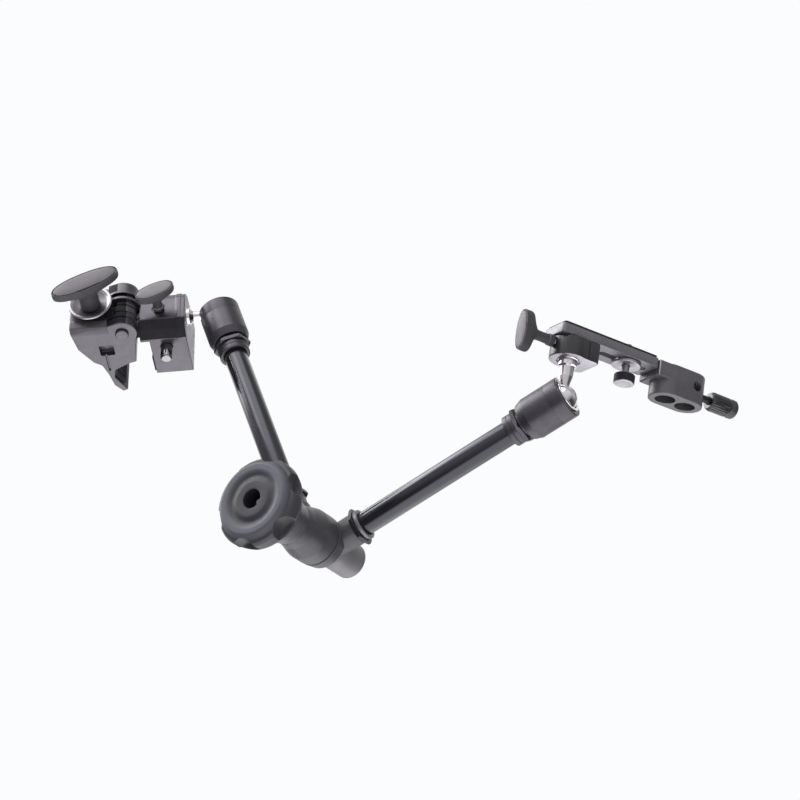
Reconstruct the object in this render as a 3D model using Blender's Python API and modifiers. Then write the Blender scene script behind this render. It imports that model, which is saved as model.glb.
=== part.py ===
"""Extension arm with a jaw clamp and a slotted camera bracket.

Lengths are in millimetres in the constants and helpers, and become metres
when a mesh is made.  +Z runs up the clamped column, +X is the clamp's socket
axis, the jaw opens towards +Y.  The origin is the centre of the fixed jaw's
rubber facing.
"""
import bpy
import bmesh
from math import sin, cos, pi, radians, sqrt
from mathutils import Matrix, Vector

# ---------------------------------------------------------------- dimensions
MM = 0.001
GAP = 0.3                      # space kept between touching pieces

SOCKET_MOUTH = (32.5, -33.0, 0.0)   # centre of the socket's mouth
STUD_REACH = 27.2              # socket mouth to the first ball's centre
ARM_1 = 231.8                  # first ball to the elbow axis
ARM_2 = 221.6                  # elbow axis to the second ball
TUBE_OFFSET = 38.15            # between the two tube axes, along the elbow
AZ_EL_1 = (6.992, -73.749)     # upper tube, from the first ball downwards
AZ_EL_ELBOW = (61.909, 9.511)  # elbow axis, from the knob to the rear end
AZ_EL_2 = (-29.793, 10.054)    # lower tube, from the elbow to the second ball
AZ_EL_STUD = (-56.41, 68.25)   # second stud, from its ball upwards
AZ_EL_BAR = (37.35, 1.50)      # along the slotted bar

SPIGOT_R = 8.0                 # 16 mm stud
BORE_R = SPIGOT_R + GAP
GROOVE_R = 6.2
BALL_R = 11.0
CAVITY_R = 11.35

# clamp, in coordinates from the socket's mouth
PIN = (-51.0, -11.0)           # jaw hinge, X and Y
PIN_R = 4.0
LOBE_R = 12.0
JAW_H = 22.8                   # half height of both jaws
FIXED_FACE_X = -30.7
SCREW_X = -75.5                # the big screw's axis
SCREW_R = 4.0
SLAB_Y = -20.0                 # outer face of the moving jaw's screw lug
SMALL_X = -21.5                # the socket screw's axis
LATCH = (-17.6, 9.3)

# ball heads, along the head's axis from the ball's centre
HEAD_R = 16.8
HEAD_END = 3.9
CAP_BACK = -7.0
HEAD_CONE = -28.0
HEAD_BACK = -34.0
NUT_R = 15.5
COLLAR_R = 12.5
NECK_R = 11.0
TUBE_R = 9.5
TUBE_WALL = 1.5
TUBE_END = -41.3
ROD_R = 3.0

# elbow, stations along its axis from the knob's face
STATION_1 = 64.15
STATION_2 = STATION_1 + TUBE_OFFSET
KNOB_R = 35.7
BOLT_R = 6.0
BOSS_X = 29.0                  # flat end of each tube boss
COLLAR_END_1 = 46.2
COLLAR_END_2 = COLLAR_END_1 - (ARM_1 - ARM_2)

# bracket, from the second ball: w along the bar, s along the stud
BLOCK_S = (31.0, 47.0)
BAR_S = (47.3, 54.5)
BAR_W = (-16.0, 73.7)
BAR_HALF = 13.0
SLOT = (30.0, 66.0, 3.5)       # slot's end centres and half width
SCREW_W = 52.0
END_C = (91.4, 110.1)          # the two receivers
END_R = 13.5
RECEIVER_R = 8.1
KNOB_S = 42.4

# --------------------------------------------------------------- scene setup
for old in list(bpy.data.objects):
    bpy.data.objects.remove(old, do_unlink=True)


def collection(name):
    c = bpy.data.collections.new(name)
    bpy.context.scene.collection.children.link(c)
    return c


parts = collection("extension_arm")
cutters = collection("cutters")


def material(name, rgb, rough, metal):
    m = bpy.data.materials.new(name)
    m.use_nodes = True
    b = m.node_tree.nodes["Principled BSDF"]
    b.inputs["Base Color"].default_value = (*rgb, 1.0)
    b.inputs["Roughness"].default_value = rough
    b.inputs["Metallic"].default_value = metal
    m.diffuse_color = (*rgb, 1.0)
    return m


CAST = dict(rgb=(0.055, 0.052, 0.060), rough=0.55, metal=0.3)
HANDLE = dict(rgb=(0.060, 0.055, 0.060), rough=0.6, metal=0.0)
CHROME = dict(rgb=(0.80, 0.79, 0.77), rough=0.12, metal=1.0)
STEEL = dict(rgb=(0.45, 0.45, 0.46), rough=0.3, metal=1.0)
TUBE = dict(rgb=(0.020, 0.024, 0.035), rough=0.2, metal=0.7)
HEAD = dict(rgb=(0.070, 0.070, 0.080), rough=0.35, metal=0.7)
KNOB = dict(rgb=(0.065, 0.068, 0.085), rough=0.5, metal=0.0)
RUBBER = dict(rgb=(0.02, 0.02, 0.022), rough=0.9, metal=0.0)
ALLOY = dict(rgb=(0.30, 0.30, 0.31), rough=0.4, metal=0.6)
BLACK = dict(rgb=(0.02, 0.02, 0.023), rough=0.45, metal=0.0)


# ------------------------------------------------------------------- helpers
def direction(az_el):
    az, el = radians(az_el[0]), radians(az_el[1])
    return Vector((cos(el) * cos(az), cos(el) * sin(az), sin(el)))


def square_to(v, n):
    return (v - n * v.dot(n)).normalized()


def place(name, origin, z, x):
    """An empty whose Z lies on an axis and whose X leans towards x."""
    z = Vector(z).normalized()
    x = square_to(Vector(x), z)
    m = Matrix((x, z.cross(x), z)).transposed().to_4x4()
    m.translation = Vector(origin) * MM
    e = bpy.data.objects.new(name, None)
    e.empty_display_size = 0.01
    parts.objects.link(e)
    e.matrix_world = m
    return e


def add(name, mesh, at, look=None, turn=None):
    """Put a mesh on an empty.  Without a look it is a cutter."""
    ob = bpy.data.objects.new(name, mesh)
    ob.parent = at
    if turn is not None:
        ob.matrix_basis = turn
    if look is None:
        cutters.objects.link(ob)
        ob.hide_render = True
        ob.display_type = "WIRE"
    else:
        parts.objects.link(ob)
        mesh.materials.append(material(name, **look))
    return ob


def turned(name, profile, at, look=None, seg=18, ring=False, turn=None):
    """A Screw-turned body.  The (r, z) profile runs down the outer side; a
    ring's profile comes back up its inner side and closes."""
    mesh = bpy.data.meshes.new(name)
    n = len(profile)
    edges = [(i, i + 1) for i in range(n - 1)]
    if ring:
        edges.append((n - 1, 0))
    mesh.from_pydata([(r * MM, 0.0, z * MM) for r, z in profile], edges, [])
    ob = add(name, mesh, at, look, turn)
    s = ob.modifiers.new("turn", "SCREW")
    s.axis = "Z"
    s.angle = 2 * pi
    s.steps = s.render_steps = seg
    s.use_merge_vertices = True
    s.merge_threshold = 0.000005
    s.use_smooth_shade = True
    return ob


def rod(name, r, z0, z1, at, look=None, seg=18, turn=None):
    return turned(name, [(0, z1), (r, z1), (r, z0), (0, z0)], at, look, seg,
                  turn=turn)


def ball(name, r, at, rings=12, seg=20):
    pts = [(r * sin(pi * i / rings), r * cos(pi * i / rings))
           for i in range(rings + 1)]
    pts[0], pts[-1] = (0, r), (0, -r)
    return turned(name, pts, at, None, seg)


def box(name, lo, hi, at, look=None, turn=None):
    mesh = bpy.data.meshes.new(name)
    bm = bmesh.new()
    bmesh.ops.create_cube(bm, size=1.0)
    size = Vector(hi) - Vector(lo)
    mid = (Vector(hi) + Vector(lo)) / 2
    for v in bm.verts:
        v.co = Vector((v.co.x * size.x + mid.x, v.co.y * size.y + mid.y,
                       v.co.z * size.z + mid.z)) * MM
    bm.to_mesh(mesh)
    bm.free()
    return add(name, mesh, at, look, turn)


def prism(name, outline, z0, z1, at, look=None, turn=None, holes=()):
    """A flat outline with thickness, drawn as a filled 2D curve."""
    curve = bpy.data.curves.new(name, "CURVE")
    curve.dimensions = "2D"
    curve.fill_mode = "BOTH"
    curve.extrude = (z1 - z0) / 2 * MM
    for loop in (outline, *holes):
        sp = curve.splines.new("POLY")
        sp.points.add(len(loop) - 1)
        for p, (x, y) in zip(sp.points, loop):
            p.co = (x * MM, y * MM, 0.0, 1.0)
        sp.use_cyclic_u = True
    temp = bpy.data.objects.new(name + "_curve", curve)
    parts.objects.link(temp)
    dg = bpy.context.evaluated_depsgraph_get()
    dg.update()
    mesh = bpy.data.meshes.new_from_object(temp.evaluated_get(dg))
    bpy.data.objects.remove(temp, do_unlink=True)
    bm = bmesh.new()
    bm.from_mesh(mesh)
    bmesh.ops.remove_doubles(bm, verts=bm.verts, dist=0.000001)
    bmesh.ops.dissolve_limit(bm, angle_limit=0.001, verts=bm.verts,
                             edges=bm.edges)
    bmesh.ops.translate(bm, verts=bm.verts,
                        vec=(0, 0, (z0 + z1) / 2 * MM))
    bmesh.ops.recalc_face_normals(bm, faces=bm.faces)
    bm.to_mesh(mesh)
    bm.free()
    mesh.name = name
    return add(name, mesh, at, look, turn)


def loft(name, rings, at, look, turn=None):
    """Skin through rings of equal count, closed with a flat cap at each end."""
    mesh = bpy.data.meshes.new(name)
    bm = bmesh.new()
    loops = [[bm.verts.new(Vector(p) * MM) for p in r] for r in rings]
    n = len(loops[0])
    for a, b in zip(loops, loops[1:]):
        for i in range(n):
            bm.faces.new((a[i], a[(i + 1) % n], b[(i + 1) % n], b[i]))
    bm.faces.new(loops[0])
    bm.faces.new(list(reversed(loops[-1])))
    bmesh.ops.recalc_face_normals(bm, faces=bm.faces)
    bm.to_mesh(mesh)
    bm.free()
    return add(name, mesh, at, look, turn)


def boolean(ob, other, operation):
    if other.name not in cutters.objects:
        other.hide_render = True
        other.display_type = "WIRE"
    m = ob.modifiers.new(operation.lower(), "BOOLEAN")
    m.operation = operation
    m.solver = "EXACT"
    m.object = other
    return ob


def cut(ob, *others):
    for o in others:
        boolean(ob, o, "DIFFERENCE")
    return ob


def join(ob, *others):
    for o in others:
        boolean(ob, o, "UNION")
    return ob


def soften(ob, width, segments=1):
    b = ob.modifiers.new("edges", "BEVEL")
    b.width = width * MM
    b.segments = segments
    b.limit_method = "ANGLE"
    b.angle_limit = radians(40)
    b.use_clamp_overlap = True
    return ob


def smooth(ob):
    ob.data.shade_smooth()
    ob.data.set_sharp_from_angle(angle=radians(35))
    return ob


def arc(cx, cy, r, a0, a1, n):
    return [(cx + r * cos(radians(a0 + (a1 - a0) * i / n)),
             cy + r * sin(radians(a0 + (a1 - a0) * i / n)))
            for i in range(n + 1)]


def slot_outline(x0, x1, r, n=8):
    return arc(x1, 0, r, -90, 90, n) + arc(x0, 0, r, 90, 270, n)


def rounded_box(x0, x1, y0, y1, r, n=3):
    return (arc(x1 - r, y0 + r, r, -90, 0, n) + arc(x1 - r, y1 - r, r, 0, 90, n)
            + arc(x0 + r, y1 - r, r, 90, 180, n)
            + arc(x0 + r, y0 + r, r, 180, 270, n))


def offset_path(pts, d):
    """The path moved sideways by d, to the left of its direction."""
    out = []
    for i, p in enumerate(pts):
        ns = []
        for a, b in ((i - 1, i), (i, i + 1)):
            if a >= 0 and b < len(pts):
                v = Vector(pts[b]) - Vector(pts[a])
                ns.append(Vector((-v.y, v.x)).normalized())
        n = sum(ns, Vector((0, 0))).normalized()
        out.append(tuple(Vector(p) + n * (d / n.dot(ns[0]))))
    return out


def oval(a, b, z, tilt=0.0, n=18, power=2.3):
    """A superellipse ring, its long axis turned by tilt degrees."""
    t0 = radians(tilt)
    ring = []
    for i in range(n):
        t = 2 * pi * i / n
        c, s = cos(t), sin(t)
        x = a * abs(c) ** (2 / power) * (1 if c >= 0 else -1)
        y = b * abs(s) ** (2 / power) * (1 if s >= 0 else -1)
        ring.append((x * cos(t0) - y * sin(t0), x * sin(t0) + y * cos(t0), z))
    return ring


# --------------------------------------------------------------- joint frames
S0 = Vector(SOCKET_MOUTH)
X, Y, Z = Vector((1, 0, 0)), Vector((0, 1, 0)), Vector((0, 0, 1))
d1 = direction(AZ_EL_1)
elbow_axis = square_to(direction(AZ_EL_ELBOW), d1)
d2 = square_to(direction(AZ_EL_2), elbow_axis)
U = direction(AZ_EL_STUD)
W = square_to(direction(AZ_EL_BAR), U)
B1 = S0 + X * STUD_REACH
E1 = B1 + d1 * ARM_1
E2 = E1 + elbow_axis * TUBE_OFFSET
B2 = E2 + d2 * ARM_2

clamp_at = place("clamp_axes", S0, Z, X)
jaw_at = place("jaw_hinge_axis", S0 + Vector((PIN[0], PIN[1], 0)), Z, X)
jaw_screw_at = place("jaw_screw_axis", S0 + X * SCREW_X, -Y, X)
socket_screw_at = place("socket_screw_axis", S0 + X * SMALL_X, -Y, X)
latch_at = place("latch_axis", S0 + Vector((LATCH[0], LATCH[1], 0)), Z, X)
stud_1_at = place("clamp_stud_axis", B1, -X, Z)
head_1_at = place("head_1_axis", B1, -d1, -X)
head_2_at = place("head_2_axis", B2, d2, U)
upper_at = place("upper_elbow_axis", E1, elbow_axis, -d1)
lower_at = place("lower_elbow_axis", E2, elbow_axis, d2)
knob_at = place("elbow_knob_axis", E1 - elbow_axis * STATION_1, elbow_axis,
                -d1)
tube_1_at = place("tube_1_axis", E1, -d1, elbow_axis)
tube_2_at = place("tube_2_axis", E2, d2, elbow_axis)
bracket_at = place("bracket_axis", B2, U, W)
block_screw_at = place("block_screw_axis", B2 + U * 42.0, -W, U)
camera_screw_at = place("camera_screw_axis", B2 + W * SCREW_W, U, W)
end_screw_at = place("end_screw_axis", B2 + U * KNOB_S, W, U)

# a prism drawn in Y and Z, with its thickness along X
YZ = Matrix(((0, 0, 1, 0), (1, 0, 0, 0), (0, 1, 0, 0), (0, 0, 0, 1)))

# -------------------------------------------------------------------- clamp
barrel = [(-12.7, -10.5), (-8.2, -18.3), (-0.4, -22.8)]
barrel_top = [(y, -z) for y, z in reversed(barrel)]
body = prism("clamp_body", barrel + [(41, -22.8), (41, 22.8)] + barrel_top,
             FIXED_FACE_X, 0.0, clamp_at, CAST, YZ)
neck = prism("barrel_end", barrel + [(2, -22.8), (2, 22.8)] + barrel_top,
             -38.0, -25.0, clamp_at, None, YZ)
arm_plan = ([(-28, 7.2), (-28, -10)]
            + arc(PIN[0], PIN[1], LOBE_R, 0, -200, 12)
            + [(-66, -3), (-90, 0.5), (-90, 5), (-84, 7.2), (-81.5, 7.2),
               (-78.5, 7.8), (SCREW_X, 8.0), (-72.5, 7.8), (-69.5, 7.2)])
arm = prism("lever_arm", arm_plan, -12.2, 12.2, clamp_at)
at_pin = Matrix.Translation(Vector((PIN[0], PIN[1], 0)) * MM)
join(body, neck, arm)
cut(body,
    rod("socket_bore", BORE_R, -34, 5, clamp_at,
        turn=Matrix.Rotation(pi / 2, 4, "Y")),
    rod("lobe_slot", 14.0, -2.8, 2.8, clamp_at, turn=at_pin, seg=24),
    box("lobe_front", (-70, -40, -2.8), (-45, -11, 2.8), clamp_at),
    rod("pin_hole", PIN_R + GAP, -30, 30, clamp_at, turn=at_pin),
    prism("screw_slot", slot_outline(-6, 6, 4.6, 6), -16, 16, clamp_at,
          turn=Matrix.Translation(Vector((SCREW_X, 2, 0)) * MM)
          @ Matrix.Rotation(pi / 2, 4, "X")),
    rod("socket_screw_hole", 3.3, 0, 20, socket_screw_at, seg=12),
    rod("latch_hole", 3.1, -30, 21, latch_at, seg=12),
    rod("latch_recess", 5.2, -30, -14, latch_at, seg=20))

jaw_plan = ([(-93, SLAB_Y), (-64, SLAB_Y)]
            + arc(PIN[0], PIN[1], 12.4, -105, 28, 10)
            + [(-42, 2), (-45, 24.5), (-52, 26.5), (-64, 33), (-66, 42),
               (-62, 50), (-57.5, 58), (-62, 60), (-68, 52), (-70.5, 38),
               (-74, 26.5), (-80, 22), (-90, 5), (-93, -14)])
to_jaw = Matrix.Translation(Vector((-PIN[0], -PIN[1], 0)) * MM)
jaw = prism("moving_jaw", jaw_plan, -JAW_H, JAW_H, jaw_at, CAST, to_jaw)
soften(jaw, 0.5)
cut(jaw,
    prism("lever_room", [(-110, -12), (-30, -12), (-30, 14), (-66, 14),
                         (-69, 22.3), (-110, 22.3)], -12.5, 12.5, jaw_at,
          turn=to_jaw),
    rod("lobe_room", 12.6, -12.5, 12.5, jaw_at, seg=24))
lobe = prism("middle_lobe", arc(0, 0, LOBE_R, -90, 180, 14)
             + [(-17.5, 0), (-17.5, -8.9), (-5, -8.9), (-3, LOBE_R * -0.96)],
             -2.5, 2.5, jaw_at)
join(jaw, lobe)
cut(jaw,
    rod("jaw_pin_hole", PIN_R + GAP, -30, 30, jaw_at),
    rod("lug_hole", SCREW_R + 0.5, 5, 30, jaw_screw_at))

turned("jaw_hinge_pin", [(0, 24.9), (4.8, 24.9), (5.5, 24.3), (5.5, 23.1),
                         (PIN_R, 23.1), (PIN_R, -23.1), (5.5, -23.1),
                         (5.5, -24.3), (4.8, -24.9), (0, -24.9)],
       jaw_at, STEEL, 14)
pad = box("fixed_jaw_pad", (-32.5, 25.5, -20), (-31.0, 40.5, 20), clamp_at,
          RUBBER)
grip = [(-60.2, 53.2), (-62, 50), (-66, 42), (-64, 33)]
prism("moving_jaw_pad", offset_path(grip, 0.3)
      + list(reversed(offset_path(grip, 1.8))), -20, 20, jaw_at, RUBBER,
      to_jaw)

# big screw, its nut, dished washer and wing (z runs out of the lug, to -Y)
rod("jaw_screw", SCREW_R, -21.5, 44.0, jaw_screw_at, STEEL, 14)
NUT_C = -14.3
nut = prism("jaw_nut", arc(0, NUT_C, 6.0, 10, 170, 12)
            + [(-5.9, -15.3), (5.9, -15.3)], -11, 11, jaw_screw_at, STEEL,
            Matrix(((1, 0, 0, 0), (0, 0, -1, 0), (0, 1, 0, 0),
                    (0, 0, 0, 1))))
cut(nut, rod("nut_hole", SCREW_R + GAP, -30, 0, jaw_screw_at))
CUP_R, CUP_T = 28.2, 1.6
cup_c = -SLAB_Y + GAP + CUP_R


def cup_side(r, r0, r1, n):
    return [(r0 + (r1 - r0) * i / n,
             cup_c - sqrt(r * r - (r0 + (r1 - r0) * i / n) ** 2))
            for i in range(n + 1)]


turned("thrust_cup", [(18.0, 27.2)] + cup_side(CUP_R, 17.6, 4.6, 4)
       + cup_side(CUP_R - CUP_T, 4.6, 16.8, 4) + [(16.9, 27.2)],
       jaw_screw_at, CHROME, 20, ring=True)
wing = loft("jaw_wing_handle",
            [oval(8, 8, 23.8, 24, power=2), oval(8, 8, 38, 24, power=2),
             oval(15, 8.6, 42.5, 24, power=2.1), oval(27, 9.2, 45, 24),
             oval(29, 9.6, 46.5, 24), oval(29, 9.6, 51.8, 24),
             oval(27.6, 8.6, 53.6, 24), oval(20, 6, 54.2, 24)],
            jaw_screw_at, HANDLE)
cut(wing, rod("wing_bore", SCREW_R + GAP, 20, 44.3, jaw_screw_at))
smooth(wing)

# socket screw and its wing
rod("socket_screw", 3.0, 6.6, 31.0, socket_screw_at, STEEL, 14)
small = [oval(4.6, 4.6, 13.1, 24, 16, 2), oval(4.6, 4.6, 16, 24, 16, 2),
         oval(4.0, 4.0, 17, 24, 16, 2), oval(4.0, 4.0, 22, 24, 16, 2),
         oval(6.5, 6.0, 25.5, 24, 16, 2.1), oval(15.0, 7.0, 28.6, 24, 16),
         oval(16.5, 7.5, 30, 24, 16), oval(16.5, 7.5, 35, 24, 16),
         oval(15.4, 6.7, 36.6, 24, 16), oval(11, 4.6, 37.0, 24, 16)]
wing = loft("socket_wing_handle", small, socket_screw_at, HANDLE)
cut(wing, rod("small_bore", 3.3, 10, 31.3, socket_screw_at, seg=12))
smooth(wing)

# latch: its waist frees the stud's groove when it is pulled down
turned("latch_pin", [(0, 19.5), (2.8, 19.5), (2.8, 15.2), (1.0, 15.2),
                     (1.0, 5.2), (2.8, 5.2), (2.8, -16), (4.8, -16),
                     (4.8, -34.8), (4.0, -36), (0, -36)],
       latch_at, CHROME, 20)

# ------------------------------------------------------------ studs and heads


def stud(name, at, shape, look=CHROME):
    """Ball, neck and spigot, drawn from the spigot's end to the ball."""
    pts = shape + [(BALL_R * sin(t), BALL_R * cos(t))
                   for t in (radians(a) for a in
                             (17.5, 32, 47, 62, 76, 90, 104, 118, 132, 146,
                              162))]
    return turned(name, pts + [(0, -BALL_R)], at, look, 18)


stud("clamp_stud", stud_1_at,
     [(0, 60.2), (7.2, 60.2), (SPIGOT_R, 59.2), (SPIGOT_R, 53.7),
      (GROOVE_R, 52.6), (GROOVE_R, 41.2), (SPIGOT_R, 40.2), (SPIGOT_R, 27.6),
      (7.15, 26.8), (7.15, 24.6), (3.9, 21.5)])
stud("bracket_stud", bracket_at,
     [(0, 46.7), (7.2, 46.7), (GROOVE_R, 45.6), (GROOVE_R, 38.4),
      (SPIGOT_R, 37.4), (SPIGOT_R, 31.4), (7.2, 31.0), (7.2, 26.5),
      (5.65, 25.8)])


def ball_head(n, at, notch):
    name = f"head_{n}_"
    cap = turned(name + "cap", [(0, HEAD_END), (15.6, HEAD_END),
                                (HEAD_R, 2.7), (HEAD_R, CAP_BACK),
                                (0, CAP_BACK)], at, HEAD, 20)
    room = ball(name + "ball_room", CAVITY_R, at)
    way = box(name + "stud_way", (0, -notch, -notch - 0.3), (25, notch, 8),
              at)
    cut(cap, room, way)
    ring = turned(name + "retaining_ring",
                  [(12.9, 5.2), (13.2, 4.9), (13.2, HEAD_END + GAP),
                   (10.75, HEAD_END + GAP), (10.75, 5.2)],
                  at, CHROME, 20, ring=True)
    cut(ring, way)
    turned(name + "housing",
           [(HEAD_R, CAP_BACK - GAP), (HEAD_R, HEAD_CONE), (14.7, HEAD_BACK),
            (4.0, HEAD_BACK), (4.0, -17.7), (12.4, -17.7),
            (12.4, CAP_BACK - GAP)], at, HEAD, 20, ring=True)
    seat = turned(name + "ball_seat", [(0, -7.6), (12.1, -7.6),
                                       (12.1, -16.7), (0, -16.7)],
                  at, STEEL, 18)
    cut(seat, room)
    nut = rod(name + "nut", NUT_R, -39.4, -36.4, at, HEAD, 6)
    cut(nut, rod(name + "nut_hole", NECK_R + GAP, -45, -30, at, seg=20))
    turned(name + "collar",
           [(NECK_R, HEAD_BACK - GAP), (NECK_R, -39.7), (COLLAR_R, -39.7),
            (COLLAR_R, -47.4), (COLLAR_R - 0.8, -48.0), (TUBE_R + GAP, -48.0),
            (TUBE_R + GAP, -41.0), (4.0, -41.0), (4.0, HEAD_BACK - GAP)],
           at, HEAD, 20, ring=True)


ball_head(1, head_1_at, 4.4)
ball_head(2, head_2_at, 4.8)


def tube(n, at, length, start):
    inner = TUBE_R - TUBE_WALL
    end = length + TUBE_END
    turned(f"tube_{n}", [(TUBE_R, end), (TUBE_R, start), (inner, start),
                         (inner, end)], at, TUBE, 20, ring=True)
    rod(f"push_rod_{n}", ROD_R, 7.5, length - 17.0, at, STEEL, 12)
    nut = rod(f"elbow_{n}_nut", NUT_R, 29.6, 32.6, at, HEAD, 6)
    cut(nut, rod(f"elbow_{n}_nut_hole", NECK_R + GAP, 20, 40, at, seg=20))
    far = start + 5.0
    turned(f"elbow_{n}_collar",
           [(TUBE_R + GAP, far), (COLLAR_R - 0.6, far), (COLLAR_R, far - 0.6),
            (COLLAR_R, 32.9), (NECK_R, 32.9), (NECK_R, BOSS_X + GAP),
            (4.0, BOSS_X + GAP), (4.0, start - GAP),
            (TUBE_R + GAP, start - GAP)], at, HEAD, 20, ring=True)


tube(1, tube_1_at, ARM_1, COLLAR_END_1 - 5.0)
tube(2, tube_2_at, ARM_2, COLLAR_END_2 - 5.0)

# -------------------------------------------------------------------- elbow
# stations below are counted from the knob's face
front = turned("elbow_front_knuckle",
               [(0, 85.7), (20.2, 85.7), (21, 84.9), (21, 73), (19.9, 68),
                (17.8, 60), (17, 51.4), (0, 51.4)], knob_at, HEAD, 24)
join(front, rod("front_boss", COLLAR_R, 6, BOSS_X, tube_1_at, seg=20))
cut(front, rod("front_bore", BOLT_R + 0.4, 40, 100, knob_at),
    rod("front_rod_hole", ROD_R + 0.4, 0, 40, tube_1_at, seg=12))

to_rear = Matrix.Translation(Vector((0, 0, -STATION_2)) * MM)
rear = turned("elbow_rear_knuckle",
              [(0, 134.6), (13.2, 134.6), (14.4, 133.4), (14.4, 104),
               (15.5, 100.5), (19.4, 98), (20.8, 88), (20.2, 87.1),
               (0, 87.1)], lower_at, HEAD, 24, turn=to_rear)
join(rear, rod("rear_boss", COLLAR_R, 6, BOSS_X, tube_2_at, seg=20))
cut(rear, rod("rear_bore", BOLT_R + 0.4, 70, 150, lower_at, turn=to_rear),
    rod("rear_recess", 10.8, 121.0, 150, lower_at, turn=to_rear),
    rod("rear_rod_hole", ROD_R + 0.4, 0, 40, tube_2_at, seg=12))
turned("elbow_thrust_washer", [(19.6, 86.8), (19.6, 86.0), (6.6, 86.0),
                               (6.6, 86.8)], lower_at, STEEL, 20, ring=True,
       turn=to_rear)
turned("elbow_bolt",
       [(0, 131.0), (9.4, 131.0), (10.2, 130.2), (10.2, 121.3),
        (BOLT_R, 121.3), (BOLT_R, STATION_2 + 5), (4.6, STATION_2 - 4),
        (BOLT_R, STATION_2 - 8), (BOLT_R, STATION_1 + 5),
        (4.6, STATION_1 - 4), (BOLT_R, STATION_1 - 8), (BOLT_R, 15.0),
        (0, 15.0)][::1], lower_at, STEEL, 20, turn=to_rear)
turned("rear_end_plug", [(0, 134.9), (9.6, 134.9), (10.4, 134.1),
                         (10.4, 131.3), (0, 131.3)], lower_at, BLACK, 18,
       turn=to_rear)

knob = turned("elbow_knob",
              [(10.4, 51.0), (16.4, 51.0), (17.2, 50.2), (19.5, 42),
               (24.0, 31), (30.0, 22.5), (34.0, 18.2), (KNOB_R, 14.3),
               (KNOB_R, 7.4), (34.6, 4.4), (31.4, 1.4), (27.8, -0.2),
               (24.6, 0.8), (22.6, 2.6), (20.6, 2.4), (18.6, 0.6), (16.5, 0),
               (7.8, 0), (7.8, 14.0), (6.5, 14.0), (6.5, 20.0),
               (10.4, 20.0)], knob_at, KNOB, 24, ring=True)
FLUTES = 6
for i in range(FLUTES):
    a = radians(-20.0 + 60.0 * i)
    cut(knob, rod(f"flute_{i + 1}", 6.2, -6, 22, knob_at, seg=12,
                  turn=Matrix.Translation(Vector((37.6 * cos(a),
                                                  37.6 * sin(a), 0)) * MM)))
turned("knob_bush", [(10.1, 50.7), (10.1, 20.3), (6.5, 20.3), (6.5, 50.7)],
       knob_at, STEEL, 20, ring=True)

# ------------------------------------------------------------------ bracket
block_plan = (arc(0, 0, 15, 70, 290, 14)
              + [(10, -13.6), (16, -14), (19, -12.5), (20, -10), (20, 10),
                 (19, 12.5), (16, 14), (10, 13.6)])
block = prism("bracket_block", block_plan, *BLOCK_S, bracket_at, BLACK)
soften(block, 0.6)
cut(block, rod("block_bore", BORE_R, 20, 60, bracket_at),
    rod("block_screw_hole", 3.3, 0, 30, block_screw_at, seg=12),
    rod("bar_screw_hole", 2.8, 36, 60, bracket_at, seg=12,
        turn=Matrix.Translation(Vector((14.2, 0, 0)) * MM)))
rod("block_screw", 3.0, 6.8, 40.0, block_screw_at, STEEL, 14)
block_wing = [oval(4.6, 4.6, 16.0, 0, 16, 2), oval(4.6, 4.6, 20, 0, 16, 2),
              oval(4.0, 4.0, 22, 0, 16, 2), oval(4.2, 4.2, 31, 0, 16, 2),
              oval(6.5, 6.0, 34, 0, 16, 2.1), oval(15.0, 7.0, 36.8, 0, 16),
              oval(16.5, 7.5, 38, 0, 16), oval(16.5, 7.5, 44, 0, 16),
              oval(15.4, 6.7, 45.6, 0, 16), oval(11, 4.6, 46.0, 0, 16)]
wing = loft("block_wing_handle", block_wing, block_screw_at, HANDLE)
cut(wing, rod("block_wing_bore", 3.3, 10, 40.3, block_screw_at, seg=12))
smooth(wing)

slot = [(x, y) for x, y in slot_outline(SLOT[0], SLOT[1], SLOT[2])]
screw_hole = arc(14.2, 0, 2.8, 0, 337.5, 15)
bar = prism("bracket_bar", rounded_box(BAR_W[0], BAR_W[1], -BAR_HALF,
                                       BAR_HALF, 3.0), *BAR_S, bracket_at,
            ALLOY, holes=(slot, screw_hole))
join(bar, box("bar_tongue", (70, -8, 49.0), (82, 8, 52.5), bracket_at))
turned("bar_screw", [(0, 54.3), (2.0, 54.3), (2.5, 53.8), (2.5, 37.0),
                     (0, 37.0)], bracket_at, STEEL, 14,
       turn=Matrix.Translation(Vector((14.2, 0, 0)) * MM))
prism("bar_pad", rounded_box(-14.0, 72.0, -12.0, 12.0, 2.0), 54.8, 56.6,
      bracket_at, RUBBER, holes=(slot_outline(SLOT[0], SLOT[1], 5.0),))
turned("boss_washer", [(11.5, 46.9), (11.5, 45.4), (3.4, 45.4), (3.4, 46.9)],
       camera_screw_at, ALLOY, 20, ring=True)
turned("camera_screw",
       [(0, 62.0), (2.6, 62.0), (3.1, 61.4), (3.1, 37.2), (7.6, 37.2),
        (8.1, 36.6), (8.1, 30.2), (7.5, 29.6), (0, 29.6)],
       camera_screw_at, STEEL, 18)

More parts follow.
